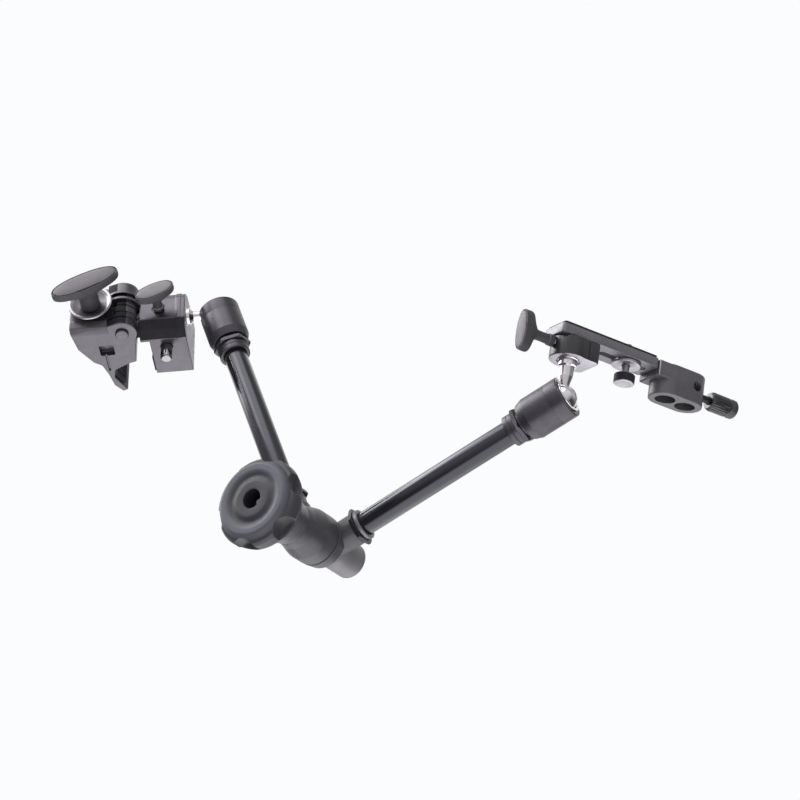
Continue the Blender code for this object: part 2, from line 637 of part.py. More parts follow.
end_plan = (arc(END_C[1], 0, END_R, -90, 90, 12)
            + arc(END_C[0], 0, END_R, 90, 270, 12))
end = prism("end_block", end_plan, 30.0, 55.0, bracket_at, ALLOY)
join(end, box("end_step", (74.0, -13.0, 38.0), (96.0, 13.0, 54.7),
              bracket_at))
soften(end, 0.6)
cut(end,
    rod("receiver_1", RECEIVER_R, 20, 48, bracket_at,
        turn=Matrix.Translation(Vector((END_C[0], 0, 0)) * MM)),
    rod("receiver_2", RECEIVER_R, 20, 48, bracket_at,
        turn=Matrix.Translation(Vector((END_C[1], 0, 0)) * MM)),
    box("tongue_room", (60, -8.3, 48.7), (82.4, 8.3, 52.8), bracket_at),
    rod("front_hole", 4.1, 0, 30, bracket_at, seg=18,
        turn=Matrix.Translation(Vector((111.0, 0, 44.0)) * MM)
        @ Matrix.Rotation(pi / 2, 4, "X")),
    rod("end_screw_hole", 3.3, 112, 140, end_screw_at, seg=12))
rod("end_screw", 3.0, 118.6, 148.0, end_screw_at, STEEL, 14)
turned("end_knob",
       [(3.3, 157.0), (6.2, 157.0), (7.4, 155.6), (7.7, 152.5), (7.4, 150),
        (7.7, 148.5), (7.7, 134.5), (6.4, 132.0), (3.3, 132.0)],
       end_screw_at, BLACK, 20, ring=True)
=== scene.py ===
"""Looks of the extension arm with its clamp and camera bracket."""
import bpy
import bmesh
from math import sin, cos, tan, pi, radians, sqrt, atan2
from mathutils import Matrix, Vector


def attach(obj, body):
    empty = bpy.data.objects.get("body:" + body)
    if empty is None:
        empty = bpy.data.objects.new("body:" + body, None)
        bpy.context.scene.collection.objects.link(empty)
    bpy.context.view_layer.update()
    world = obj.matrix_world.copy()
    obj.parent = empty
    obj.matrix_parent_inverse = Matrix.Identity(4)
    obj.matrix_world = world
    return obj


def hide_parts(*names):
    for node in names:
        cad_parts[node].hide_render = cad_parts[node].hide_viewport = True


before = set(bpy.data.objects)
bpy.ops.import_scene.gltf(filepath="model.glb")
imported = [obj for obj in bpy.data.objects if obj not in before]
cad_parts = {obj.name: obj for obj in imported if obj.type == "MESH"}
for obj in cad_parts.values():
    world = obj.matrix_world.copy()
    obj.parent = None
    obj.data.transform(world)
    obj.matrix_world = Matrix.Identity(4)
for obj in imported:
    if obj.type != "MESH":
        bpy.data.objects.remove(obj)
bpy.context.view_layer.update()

MM = 0.001
GAP = 0.3

# ------------------------------------------------------ the frame's own sizes
SOCKET_MOUTH = (32.5, -33.0, 0.0)
STUD_REACH = 27.2
ARM_1, ARM_2 = 231.8, 221.6
TUBE_OFFSET = 38.15
AZ_EL_1 = (6.992, -73.749)
AZ_EL_ELBOW = (61.909, 9.511)
AZ_EL_2 = (-29.793, 10.054)
AZ_EL_STUD = (-56.41, 68.25)
AZ_EL_BAR = (37.35, 1.50)
SPIGOT_R, GROOVE_R, BALL_R = 8.0, 6.2, 11.0
PIN = (-51.0, -11.0)
SCREW_X, SLAB_Y, SMALL_X = -75.5, -20.0, -21.5
LATCH = (-17.6, 9.3)
HEAD_R, HEAD_END = 16.8, 3.9
STATION_1 = 64.15
STATION_2 = STATION_1 + TUBE_OFFSET
COLLAR_END_1 = 46.2
COLLAR_END_2 = COLLAR_END_1 - (ARM_1 - ARM_2)


def direction(az_el):
    az, el = radians(az_el[0]), radians(az_el[1])
    return Vector((cos(el) * cos(az), cos(el) * sin(az), sin(el)))


def square_to(v, n):
    return (v - n * v.dot(n)).normalized()


def axes(origin, z, x):
    z = Vector(z).normalized()
    x = square_to(Vector(x), z)
    m = Matrix((x, z.cross(x), z)).transposed().to_4x4()
    m.translation = Vector(origin) * MM
    return m


def shift(x, y, z):
    return Matrix.Translation(Vector((x, y, z)) * MM)


S0 = Vector(SOCKET_MOUTH)
X, Y, Z = Vector((1, 0, 0)), Vector((0, 1, 0)), Vector((0, 0, 1))
d1 = direction(AZ_EL_1)
ea = square_to(direction(AZ_EL_ELBOW), d1)
d2 = square_to(direction(AZ_EL_2), ea)
U = direction(AZ_EL_STUD)
W = square_to(direction(AZ_EL_BAR), U)
B1 = S0 + X * STUD_REACH
E1 = B1 + d1 * ARM_1
E2 = E1 + ea * TUBE_OFFSET
B2 = E2 + d2 * ARM_2

CLAMP = axes(S0, Z, X)
JAW = axes(S0 + Vector((PIN[0], PIN[1], 0)), Z, X)
JAW_SCREW = axes(S0 + X * SCREW_X, -Y, X)
SOCKET_SCREW = axes(S0 + X * SMALL_X, -Y, X)
LATCH_AT = axes(S0 + Vector((LATCH[0], LATCH[1], 0)), Z, X)
STUD_1 = axes(B1, -X, Z)
HEAD_1 = axes(B1, -d1, -X)
HEAD_2 = axes(B2, d2, U)
KNOB_AT = axes(E1 - ea * STATION_1, ea, -d1)
REAR_AT = axes(E2 - ea * STATION_2, ea, d2)
TUBE_1 = axes(E1, -d1, ea)
TUBE_2 = axes(E2, d2, ea)
BRACKET = axes(B2, U, W)
BLOCK_SCREW = axes(B2 + U * 42.0, -W, U)
CAMERA_SCREW = axes(B2 + W * 52.0, U, W)
END_SCREW = axes(B2 + U * 42.4, W, U)
YZ = Matrix(((0, 0, 1, 0), (1, 0, 0, 0), (0, 1, 0, 0), (0, 0, 0, 1)))


# ------------------------------------------------------------------ materials
def tree(name):
    m = bpy.data.materials.new(name)
    m.use_nodes = True
    nt = m.node_tree
    return m, nt, nt.nodes["Principled BSDF"]


def node(nt, kind, **values):
    n = nt.nodes.new(kind)
    for k, v in values.items():
        if k in n.inputs:
            n.inputs[k].default_value = v
        else:
            setattr(n, k, v)
    return n


def noise(nt, vec, scale, detail=3.0, rough=0.55, distortion=0.0):
    n = node(nt, "ShaderNodeTexNoise")
    n.inputs["Scale"].default_value = scale
    n.inputs["Detail"].default_value = detail
    n.inputs["Roughness"].default_value = rough
    n.inputs["Distortion"].default_value = distortion
    nt.links.new(vec, n.inputs["Vector"])
    return n.outputs["Fac"]


def calc(nt, op, a, b=None, clamp=False):
    n = nt.nodes.new("ShaderNodeMath")
    n.operation = op
    n.use_clamp = clamp
    for i, v in enumerate((a, b)):
        if v is None:
            continue
        if isinstance(v, (int, float)):
            n.inputs[i].default_value = v
        else:
            nt.links.new(v, n.inputs[i])
    return n.outputs[0]


def remap(nt, v, a, b, c, d):
    n = nt.nodes.new("ShaderNodeMapRange")
    n.interpolation_type = "SMOOTHSTEP"
    for k, x in zip(("From Min", "From Max", "To Min", "To Max"),
                    (a, b, c, d)):
        n.inputs[k].default_value = x
    nt.links.new(v, n.inputs["Value"])
    return n.outputs["Result"]


def mix(nt, f, a, b):
    n = nt.nodes.new("ShaderNodeMix")
    n.data_type = "RGBA"
    for sock, v in ((n.inputs[0], f), (n.inputs[6], a), (n.inputs[7], b)):
        if isinstance(v, (tuple, list)):
            sock.default_value = (*v, 1.0) if len(v) == 3 else v
        elif isinstance(v, (int, float)):
            sock.default_value = v
        else:
            nt.links.new(v, sock)
    return n.outputs[2]


def surface(name, base, light, rough, rough_var=0.08, metal=0.0, coat=0.0,
            grain=0.0, grain_scale=1800.0, lathe_lines=0.0, line_scale=2600.0,
            wear=0.0, wear_rgb=(0.35, 0.34, 0.34), pits=0.0, edge=0.0004,
            smudge=0.25, spec=0.5, dust=0.0, lay="Z"):
    """Base and light are mixed by soft blotches; grain, pits and lathe lines
    are relief; wear brightens edges; dust greys the upper faces."""
    m, nt, b = tree(name)
    base, light = (tuple(k * v for k, v in zip((1.03, 0.99, 1.05), c))
                   for c in (base, light))
    b.inputs["Metallic"].default_value = metal
    b.inputs["Specular IOR Level"].default_value = spec
    if coat:
        b.inputs["Coat Weight"].default_value = coat
        b.inputs["Coat Roughness"].default_value = 0.08
    own = nt.nodes.new("ShaderNodeAttribute")
    own.attribute_name = "loc"
    vec = own.outputs["Vector"]
    blotch = noise(nt, vec, 70.0, 4.0, 0.6, 0.3)
    fine = noise(nt, vec, 420.0, 3.0, 0.6)
    tone = calc(nt, "ADD", calc(nt, "MULTIPLY", blotch, 0.65),
                calc(nt, "MULTIPLY", fine, 0.35))
    colour = mix(nt, remap(nt, tone, 0.35, 0.68, 0.0, 1.0), base, light)
    r = remap(nt, noise(nt, vec, 110.0, 5.0, 0.65, 0.6), 0.3, 0.7,
              rough - rough_var, rough + rough_var)
    bevel = nt.nodes.new("ShaderNodeBevel")
    bevel.samples = 4
    bevel.inputs["Radius"].default_value = edge
    normal = bevel.outputs["Normal"]
    if wear:
        geo = nt.nodes.new("ShaderNodeNewGeometry")
        dot = nt.nodes.new("ShaderNodeVectorMath")
        dot.operation = "DOT_PRODUCT"
        nt.links.new(geo.outputs["Normal"], dot.inputs[0])
        nt.links.new(bevel.outputs["Normal"], dot.inputs[1])
        worn = calc(nt, "SUBTRACT", 1.0, dot.outputs["Value"], True)
        worn = calc(nt, "ADD", worn,
                    calc(nt, "MULTIPLY",
                         calc(nt, "SUBTRACT", noise(nt, vec, 260.0, 5.0, 0.7),
                              0.5), 0.35))
        worn = remap(nt, worn, 0.10, 0.28, 0.0, wear)
        colour = mix(nt, worn, colour, wear_rgb)
        r = calc(nt, "SUBTRACT", r, calc(nt, "MULTIPLY", worn, 0.15), True)
    if dust:
        geo2 = nt.nodes.new("ShaderNodeNewGeometry")
        sep = nt.nodes.new("ShaderNodeSeparateXYZ")
        nt.links.new(geo2.outputs["Normal"], sep.inputs[0])
        top = remap(nt, sep.outputs["Z"], 0.35, 1.0, 0.0, dust)
        top = calc(nt, "MULTIPLY", top, noise(nt, vec, 300.0, 6.0, 0.7))
        colour = mix(nt, top, colour, (0.30, 0.30, 0.31))
    nt.links.new(colour, b.inputs["Base Color"])
    nt.links.new(r, b.inputs["Roughness"])
    height = None

    def relief(h, strength, distance, normal):
        bump = nt.nodes.new("ShaderNodeBump")
        bump.inputs["Strength"].default_value = strength
        bump.inputs["Distance"].default_value = distance
        nt.links.new(h, bump.inputs["Height"])
        nt.links.new(normal, bump.inputs["Normal"])
        return bump.outputs["Normal"]

    if lathe_lines:
        sep = nt.nodes.new("ShaderNodeSeparateXYZ")
        nt.links.new(vec, sep.inputs[0])
        rad = nt.nodes.new("ShaderNodeVectorMath")
        rad.operation = "LENGTH"
        flat = nt.nodes.new("ShaderNodeCombineXYZ")
        a, c = {"Z": ("X", "Y"), "X": ("Y", "Z"), "Y": ("X", "Z")}[lay]
        nt.links.new(sep.outputs[a], flat.inputs[0])
        nt.links.new(sep.outputs[c], flat.inputs[1])
        nt.links.new(flat.outputs[0], rad.inputs[0])
        run = calc(nt, "ADD", sep.outputs[lay], rad.outputs["Value"])
        one = nt.nodes.new("ShaderNodeTexNoise")
        one.noise_dimensions = "1D"
        one.inputs["Scale"].default_value = line_scale
        one.inputs["Detail"].default_value = 2.0
        nt.links.new(run, one.inputs["W"])
        normal = relief(one.outputs["Fac"], lathe_lines, 0.00004, normal)
    if grain:
        normal = relief(noise(nt, vec, grain_scale, 3.0, 0.6), grain, 0.00008,
                        normal)
    if pits:
        v = nt.nodes.new("ShaderNodeTexVoronoi")
        v.inputs["Scale"].default_value = 900.0
        nt.links.new(vec, v.inputs["Vector"])
        normal = relief(remap(nt, v.outputs["Distance"], 0.0, 0.5, 0.0, 1.0),
                        pits, 0.00010, normal)
    nt.links.new(normal, b.inputs["Normal"])
    return m


CAST = surface("cast_paint", (0.113, 0.108, 0.116), (0.133, 0.127, 0.136),
               0.34, 0.05, metal=0.85, grain=0.22, grain_scale=1500, pits=0.15,
               wear=0.25, wear_rgb=(0.30, 0.29, 0.31), edge=0.0007, dust=0.10)
# painted shade: a near-black copy of the casting for the hinge lobes, standing
# in for the shade between the wings and the lobes
KNUCKLE_PAINTED_SHADE = surface("knuckle_painted_shade", (0.012, 0.011, 0.013),
                  (0.020, 0.019, 0.022), 0.50, 0.06, grain=0.4,
                  grain_scale=1300, edge=0.0006, wear=0.25, spec=0.12,
                  wear_rgb=(0.10, 0.10, 0.11))
# painted shade: a near-black paint for the barrel's lower front facets, the
# knob's bore and the camera screw head's sides, standing in for their shade
SHADE = surface("painted_shade_dark", (0.026, 0.025, 0.028),
                (0.034, 0.032, 0.036), 0.55, 0.06, grain=0.3,
                grain_scale=1500, edge=0.0007, wear=0.4, spec=0.10,
                wear_rgb=(0.16, 0.16, 0.17))
MACHINED = surface("machined_face", (0.24, 0.24, 0.25), (0.30, 0.30, 0.31),
                   0.40, 0.07, metal=0.6, grain=0.2, grain_scale=2600,
                   lathe_lines=0.35, wear=0.3, edge=0.0005)
HANDLE = surface("handle_moulding", (0.215, 0.208, 0.215),
                 (0.250, 0.242, 0.250), 0.52, 0.05, grain=0.4,
                 grain_scale=2300, edge=0.0006, dust=0.10, spec=0.25)
SMALL_HANDLE = surface("small_handle_moulding", (0.270, 0.265, 0.272),
                       (0.310, 0.304, 0.312), 0.52, 0.05, grain=0.4,
                       grain_scale=2300, edge=0.0006, dust=0.10, spec=0.25)
# painted shade: a darker copy of the handle moulding for the handles' sides and
# undersides, standing in for their shade
HANDLE_SIDE_PAINTED_SHADE = surface("handle_side_painted_shade", (0.060, 0.059, 0.062),
                      (0.078, 0.076, 0.080), 0.50, 0.05, grain=0.4,
                      grain_scale=2300, edge=0.0006, spec=0.20)
CHROME = surface("chrome", (0.74, 0.73, 0.72), (0.82, 0.81, 0.80), 0.12,
                 0.04, metal=1.0, grain=0.05, grain_scale=500,
                 lathe_lines=0.06, edge=0.0003)
CUP = surface("plated_dish", (0.24, 0.235, 0.235), (0.30, 0.29, 0.29), 0.46,
              0.04, metal=1.0, grain=0.03, grain_scale=700, lathe_lines=0.08,
              edge=0.0003)
PLATED = surface("plated_pin", (0.30, 0.30, 0.295), (0.35, 0.35, 0.345), 0.18,
                 0.04, metal=1.0, lathe_lines=0.1, edge=0.0003)
BRIGHT = surface("faced_alloy", (0.40, 0.40, 0.41), (0.46, 0.46, 0.47), 0.34,
                 0.05, metal=0.9, grain=0.1, grain_scale=2600,
                 lathe_lines=0.25, edge=0.0004)
STEEL = surface("turned_steel", (0.34, 0.34, 0.35), (0.46, 0.46, 0.47), 0.30,
                0.07, metal=1.0, lathe_lines=0.5, edge=0.0002)
TUBE = surface("anodised_tube", (0.030, 0.030, 0.040), (0.036, 0.036, 0.047),
               0.22, 0.03, metal=0.7, coat=0.6, grain=0.012,
               grain_scale=500, edge=0.0004, wear=0.25)
HEAD = surface("satin_turning", (0.078, 0.076, 0.083), (0.092, 0.090, 0.098),
               0.36, 0.04, metal=0.8, grain=0.06, grain_scale=2200,
               lathe_lines=0.10, line_scale=1200, edge=0.0001, wear=0.35,
               wear_rgb=(0.26, 0.26, 0.28))
DARK_HEAD = surface("dark_turning", (0.022, 0.022, 0.025),
                    (0.032, 0.032, 0.036), 0.30, 0.05, metal=0.6, grain=0.10,
                    grain_scale=2200, lathe_lines=0.2, line_scale=1600,
                    edge=0.0006, wear=0.6, wear_rgb=(0.25, 0.25, 0.27))
KNOB = surface("knob_moulding", (0.028, 0.029, 0.036), (0.036, 0.037, 0.045),
               0.48, 0.04, grain=0.08, grain_scale=2100, edge=0.0006,
               dust=0.03, spec=0.42)


def paint_highlight_rings(mat, bands, depth):
    """Blend painted highlight rings in by the distance from the axis, in front
    of a depth; each band is (from, to, colour) in millimetres."""
    nt = mat.node_tree
    shader = nt.nodes["Principled BSDF"]
    colour = shader.inputs["Base Color"].links[0].from_socket
    own = nt.nodes.new("ShaderNodeAttribute")
    own.attribute_name = "loc"
    sep = nt.nodes.new("ShaderNodeSeparateXYZ")
    nt.links.new(own.outputs["Vector"], sep.inputs[0])
    rad = calc(nt, "SQRT", calc(nt, "ADD",
                                calc(nt, "MULTIPLY", sep.outputs["X"],
                                     sep.outputs["X"]),
                                calc(nt, "MULTIPLY", sep.outputs["Y"],
                                     sep.outputs["Y"])))
    front = remap(nt, sep.outputs["Z"], depth * MM, (depth + 4) * MM, 1.0, 0.0)
    speckle = noise(nt, own.outputs["Vector"], 300.0, 4.0)
    for r0, r1, rgb in bands:
        f = calc(nt, "MULTIPLY", remap(nt, rad, r0 * MM, r1 * MM, 0.0, 1.0),
                 front)
        tone = mix(nt, speckle, tuple(k * 0.9 for k in rgb),
                   tuple(k * 1.1 for k in rgb))
        colour = mix(nt, f, colour, tone)
    nt.links.new(colour, shader.inputs["Base Color"])
    return mat


# painted highlights on the knob's face: a broad light ring on the groove's
# outer slope and a narrow one on the crown's outer falloff
paint_highlight_rings(KNOB, ((19.5, 24.0, (0.096, 0.095, 0.120)),
              (29.6, 32.4, (0.050, 0.050, 0.060))), 8.0)
# the knob's rim and side; its light edge wear is partly wear and partly a
# painted highlight that outlines the scoops
KNOB_RIM_WEAR_AND_HIGHLIGHT = surface("knob_rim_wear_and_highlight", (0.044, 0.045, 0.053), (0.056, 0.057, 0.067),
                   0.44, 0.04, grain=0.10, grain_scale=2100, edge=0.0008,
                   spec=0.45, wear=0.8, wear_rgb=(0.20, 0.20, 0.225))
BULB = surface("satin_casting", (0.078, 0.078, 0.083), (0.094, 0.094, 0.099),
               0.40, 0.05, metal=0.35, grain=0.2, grain_scale=1900,
               lathe_lines=0.08, line_scale=1200, edge=0.0006, dust=0.08,
               wear=0.2, wear_rgb=(0.26, 0.26, 0.28))
REAR = surface("faced_casting", (0.185, 0.184, 0.188), (0.215, 0.214, 0.218),
               0.46, 0.05, metal=0.30, grain=0.15, grain_scale=1900,
               lathe_lines=0.10, line_scale=1200, edge=0.0006, dust=0.05)
RUBBER = surface("rubber", (0.016, 0.016, 0.018), (0.028, 0.028, 0.030), 0.82,
                 0.08, grain=0.6, grain_scale=1300, edge=0.0003)
ALLOY = surface("satin_alloy", (0.18, 0.18, 0.185), (0.21, 0.21, 0.216),
                0.38, 0.05, metal=0.6, grain=0.15, grain_scale=2600,
                edge=0.0006, wear=0.4, wear_rgb=(0.4, 0.4, 0.41))
DARK_ALLOY = surface("dark_alloy", (0.112, 0.110, 0.116), (0.136, 0.134, 0.142),
                     0.42, 0.05, metal=0.4, grain=0.15, grain_scale=2600,
                     edge=0.0007, wear=0.4, wear_rgb=(0.4, 0.4, 0.41))
GREY = surface("grey_casting", (0.060, 0.060, 0.064), (0.076, 0.076, 0.080),
               0.42, 0.06, metal=0.4, grain=0.25, grain_scale=2000,
               edge=0.0008, wear=0.3)
BLACK = surface("black_moulding", (0.018, 0.018, 0.020),
                (0.026, 0.026, 0.029), 0.24, 0.05, grain=0.08,
                grain_scale=2300, edge=0.0006, spec=0.7)


# -------------------------------------------------------------------- meshes
PIECES = []


def settle(name, mesh, at, mat, body, nodes, sharp=32.0, extra=()):
    ob = bpy.data.objects.new(name, mesh)
    bpy.context.scene.collection.objects.link(ob)
    ob.matrix_world = at
    mesh.materials.clear()
    mesh.materials.append(mat)
    for e in extra:
        mesh.materials.append(e)
    if sharp is not None:
        mesh.shade_smooth()
        mesh.set_sharp_from_angle(angle=radians(sharp))
    PIECES.append((ob, body, nodes))
    return ob


def fillet(pts, r=0.4, n=3, closed=False, keep=()):
    """Round the corners of a profile; a point may carry its own radius."""
    out = []
    m = len(pts)
    for i, p in enumerate(pts):
        rr = p[2] if len(p) > 2 else r
        p2 = Vector(p[:2])
        if (not closed and i in (0, m - 1)) or rr <= 0:
            out.append(tuple(p2))
            continue
        a, c = Vector(pts[i - 1][:2]), Vector(pts[(i + 1) % m][:2])
        u, v = a - p2, c - p2
        lu, lv = u.length, v.length
        if lu < 1e-6 or lv < 1e-6:
            continue
        u, v = u / lu, v / lv
        ang = u.angle(v)
        if ang > radians(176) or ang < radians(3):
            out.append(tuple(p2))
            continue
        t = min(rr / tan(ang / 2), 0.45 * lu, 0.45 * lv)
        rad = t * tan(ang / 2)
        mid = (u + v).normalized()
        cen = p2 + mid * (rad / sin(ang / 2))
        s, e = p2 + u * t - cen, p2 + v * t - cen
        a0, a1 = atan2(s.y, s.x), atan2(e.y, e.x)
        da = (a1 - a0 + pi) % (2 * pi) - pi
        for k in range(n + 1):
            w = a0 + da * k / n
            out.append((cen.x + rad * cos(w), cen.y + rad * sin(w)))
    return out


def lathe_mesh(name, prof, seg=96, ring=False):
    """Faces skinned between turned copies of each profile point."""
    mesh = bpy.data.meshes.new(name)
    bm = bmesh.new()
    loops = []
    for r, z in prof:
        if r < 1e-4:
            loops.append([bm.verts.new((0, 0, z * MM))])
        else:
            loops.append([bm.verts.new((r * MM * cos(2 * pi * i / seg),
                                        r * MM * sin(2 * pi * i / seg),
                                        z * MM)) for i in range(seg)])
    pairs = list(zip(loops, loops[1:]))
    if ring:
        pairs.append((loops[-1], loops[0]))
    for a, b in pairs:
        for i in range(seg):
            j = (i + 1) % seg
            vs = [a[i % len(a)], a[j % len(a)], b[j % len(b)], b[i % len(b)]]
            uniq = []
            for v in vs:
                if v not in uniq:
                    uniq.append(v)
            if len(uniq) > 2:
                bm.faces.new(uniq)
    bmesh.ops.recalc_face_normals(bm, faces=bm.faces)
    bm.to_mesh(mesh)
    bm.free()
    return mesh


def turned(name, prof, at, mat, body, nodes, seg=96, ring=False, r=0.4, n=3,
           sharp=32.0):
    prof = fillet(prof, r, n, ring)
    return settle(name, lathe_mesh(name, prof, seg, ring), at, mat, body,
                  nodes, sharp)


def helper(mesh, at):
    ob = bpy.data.objects.new("tool", mesh)
    bpy.context.scene.collection.objects.link(ob)
    ob.matrix_world = at
    return ob


def rod_tool(r, z0, z1, at, seg=64, dome=0.0):
    prof = [(0, z1), (r, z1), (r, z0), (0, z0)]
    if dome:
        prof = ([(0, z1 + dome)]
                + [(r * sin(pi / 2 * k / 8), z1 + dome * cos(pi / 2 * k / 8))
                   for k in range(1, 9)] + [(r, z0), (0, z0)])
    return helper(lathe_mesh("tool", prof, seg), at)


def ball_tool(r, at, seg=72):
    prof = [(r * sin(pi * k / 36), r * cos(pi * k / 36)) for k in range(37)]
    prof[0], prof[-1] = (0, r), (0, -r)
    return helper(lathe_mesh("tool", prof, seg), at)


def box_mesh(lo, hi):
    mesh = bpy.data.meshes.new("box")
    bm = bmesh.new()
    bmesh.ops.create_cube(bm, size=1.0)
    size = Vector(hi) - Vector(lo)
    mid = (Vector(hi) + Vector(lo)) / 2
    for v in bm.verts:
        v.co = Vector([(v.co[i] * size[i] + mid[i]) * MM for i in range(3)])
    bm.to_mesh(mesh)
    bm.free()
    return mesh


def box_tool(lo, hi, at):
    return helper(box_mesh(lo, hi), at)


def plate_mesh(name, outline, z0, z1, holes=()):
    curve = bpy.data.curves.new(name, "CURVE")
    curve.dimensions = "2D"
    curve.fill_mode = "BOTH"
    curve.extrude = (z1 - z0) / 2 * MM
    for loop in (outline, *holes):
        sp = curve.splines.new("POLY")
        sp.points.add(len(loop) - 1)
        for p, (x, y) in zip(sp.points, loop):
            p.co = (x * MM, y * MM, 0.0, 1.0)
        sp.use_cyclic_u = True
    temp = bpy.data.objects.new("temp_curve", curve)
    bpy.context.scene.collection.objects.link(temp)
    dg = bpy.context.evaluated_depsgraph_get()
    dg.update()
    mesh = bpy.data.meshes.new_from_object(temp.evaluated_get(dg))
    bpy.data.objects.remove(temp, do_unlink=True)
    bm = bmesh.new()
    bm.from_mesh(mesh)
    bmesh.ops.remove_doubles(bm, verts=bm.verts, dist=0.000001)
    bmesh.ops.dissolve_limit(bm, angle_limit=0.001, verts=bm.verts,
                             edges=bm.edges)
    bmesh.ops.translate(bm, verts=bm.verts, vec=(0, 0, (z0 + z1) / 2 * MM))
    bmesh.ops.recalc_face_normals(bm, faces=bm.faces)
    bm.to_mesh(mesh)
    bm.free()
    return mesh


def plate_tool(outline, z0, z1, at):
    return helper(plate_mesh("tool", outline, z0, z1), at)


def baked(ob):
    """Apply an object's modifiers to its own mesh."""
    dg = bpy.context.evaluated_depsgraph_get()
    dg.update()
    mesh = bpy.data.meshes.new_from_object(ob.evaluated_get(dg))
    mats = list(ob.data.materials)
    ob.modifiers.clear()
    ob.data = mesh
    mesh.materials.clear()
    for m in mats:
        mesh.materials.append(m)
    return ob


def combine(ob, tools, operation):
    for t in tools:
        m = ob.modifiers.new("b", "BOOLEAN")
        m.operation = operation
        m.solver = "EXACT"
        m.object = t
    baked(ob)
    for t in tools:
        if not any(t is p[0] for p in PIECES):
            bpy.data.objects.remove(t, do_unlink=True)
    return ob


def cut(ob, *tools):
    return combine(ob, tools, "DIFFERENCE")


def join(ob, *tools):
    return combine(ob, tools, "UNION")


def bevel(ob, width, segments=3, angle=35.0):
    b = ob.modifiers.new("bevel", "BEVEL")
    b.width = width * MM
    b.segments = segments
    b.limit_method = "ANGLE"
    b.angle_limit = radians(angle)
    b.use_clamp_overlap = True
    b.harden_normals = False
    return baked(ob)


def resharp(ob, angle=32.0):
    ob.data.shade_smooth()
    ob.data.set_sharp_from_angle(angle=radians(angle))
    return ob


def by_normal(ob, test, index):
    """Give the faces whose centre and normal pass the test another slot."""
    for p in ob.data.polygons:
        if test(p.center / MM, p.normal):
            p.material_index = index
    return ob


def arc(cx, cy, r, a0, a1, n):
    return [(cx + r * cos(radians(a0 + (a1 - a0) * i / n)),
             cy + r * sin(radians(a0 + (a1 - a0) * i / n)))
            for i in range(n + 1)]


def slot_outline(x0, x1, r, n=16):
    return arc(x1, 0, r, -90, 90, n) + arc(x0, 0, r, 90, 270, n)


def rounded_box(x0, x1, y0, y1, r, n=6):
    return (arc(x1 - r, y0 + r, r, -90, 0, n) + arc(x1 - r, y1 - r, r, 0, 90, n)
            + arc(x0 + r, y1 - r, r, 90, 180, n)
            + arc(x0 + r, y0 + r, r, 180, 270, n))


def oval(a, b, z, tilt=0.0, n=72, power=2.25):
    t0 = radians(tilt)
    ring = []
    for i in range(n):
        t = 2 * pi * i / n
        c, s = cos(t), sin(t)
        x = a * abs(c) ** (2 / power) * (1 if c >= 0 else -1)
        y = b * abs(s) ** (2 / power) * (1 if s >= 0 else -1)
        ring.append((x * cos(t0) - y * sin(t0), x * sin(t0) + y * cos(t0), z))
    return ring


def loft_mesh(name, rings):
    mesh = bpy.data.meshes.new(name)
    bm = bmesh.new()
    loops = [[bm.verts.new(Vector(p) * MM) for p in r] for r in rings]
    n = len(loops[0])
    for a, b in zip(loops, loops[1:]):
        for i in range(n):
            bm.faces.new((a[i], a[(i + 1) % n], b[(i + 1) % n], b[i]))
    for loop in (loops[0], loops[-1]):
        c = bm.verts.new(sum((v.co for v in loop), Vector()) / n)
        for i in range(n):
            bm.faces.new((loop[i], loop[(i + 1) % n], c))
    bmesh.ops.recalc_face_normals(bm, faces=bm.faces)
    bm.to_mesh(mesh)
    bm.free()
    return mesh


def wing_rings(keys, tilt, steps=5):
    """Smooth rings through (half length, half width, height) stations."""
    def catmull(p0, p1, p2, p3, t):
        return 0.5 * ((2 * p1) + (-p0 + p2) * t
                      + (2 * p0 - 5 * p1 + 4 * p2 - p3) * t * t
                      + (-p0 + 3 * p1 - 3 * p2 + p3) * t ** 3)
    out = []
    m = len(keys)
    for i in range(m - 1):
        q = [keys[max(0, i - 1)], keys[i], keys[i + 1], keys[min(m - 1, i + 2)]]
        for k in range(steps):
            t = k / steps
            v = [catmull(*(s[j] for s in q), t) for j in range(4)]
            out.append(oval(max(0.2, v[0]), max(0.2, v[1]), v[2], tilt,
                            power=v[3]))
    a, b, z, p = keys[-1]
    out.append(oval(a, b, z, tilt, power=p))
    return out


# --------------------------------------------------------------------- clamp
barrel = [(-12.7, -10.5), (-8.2, -18.3), (-0.4, -22.8)]
barrel_top = [(y, -z) for y, z in reversed(barrel)]
body = settle("clamp_casting",
              plate_mesh("clamp_casting", barrel + [(41, -22.8), (41, 22.8)]
                         + barrel_top, -30.7, 0.0),
              CLAMP @ YZ, CAST, "clamp", ["clamp_body"],
              extra=(MACHINED, KNUCKLE_PAINTED_SHADE, SHADE))
bevel(body, 0.8, 3, 25)
neck = helper(plate_mesh("neck", barrel + [(2, -22.8), (2, 22.8)] + barrel_top,
                         -38.0, -20.0), CLAMP @ YZ)
b = neck.modifiers.new("b", "BEVEL")
b.width, b.segments, b.limit_method = 0.0008, 3, "ANGLE"
b.angle_limit = radians(25)
neck = baked(neck)
arm_plan = ([(-28, 7.2), (-28, -10)]
            + arc(PIN[0], PIN[1], 12.0, 0, -180, 48)
            + [(-66, -3), (-90, 0.5), (-90, 5), (-84, 7.2), (-81.5, 7.2),
               (-78.5, 7.8), (SCREW_X, 8.0), (-72.5, 7.8), (-69.5, 7.2)])
arm = helper(plate_mesh("arm", arm_plan, -12.2, 12.2), CLAMP)
at_pin = CLAMP @ shift(PIN[0], PIN[1], 0)
join(body, neck, arm)
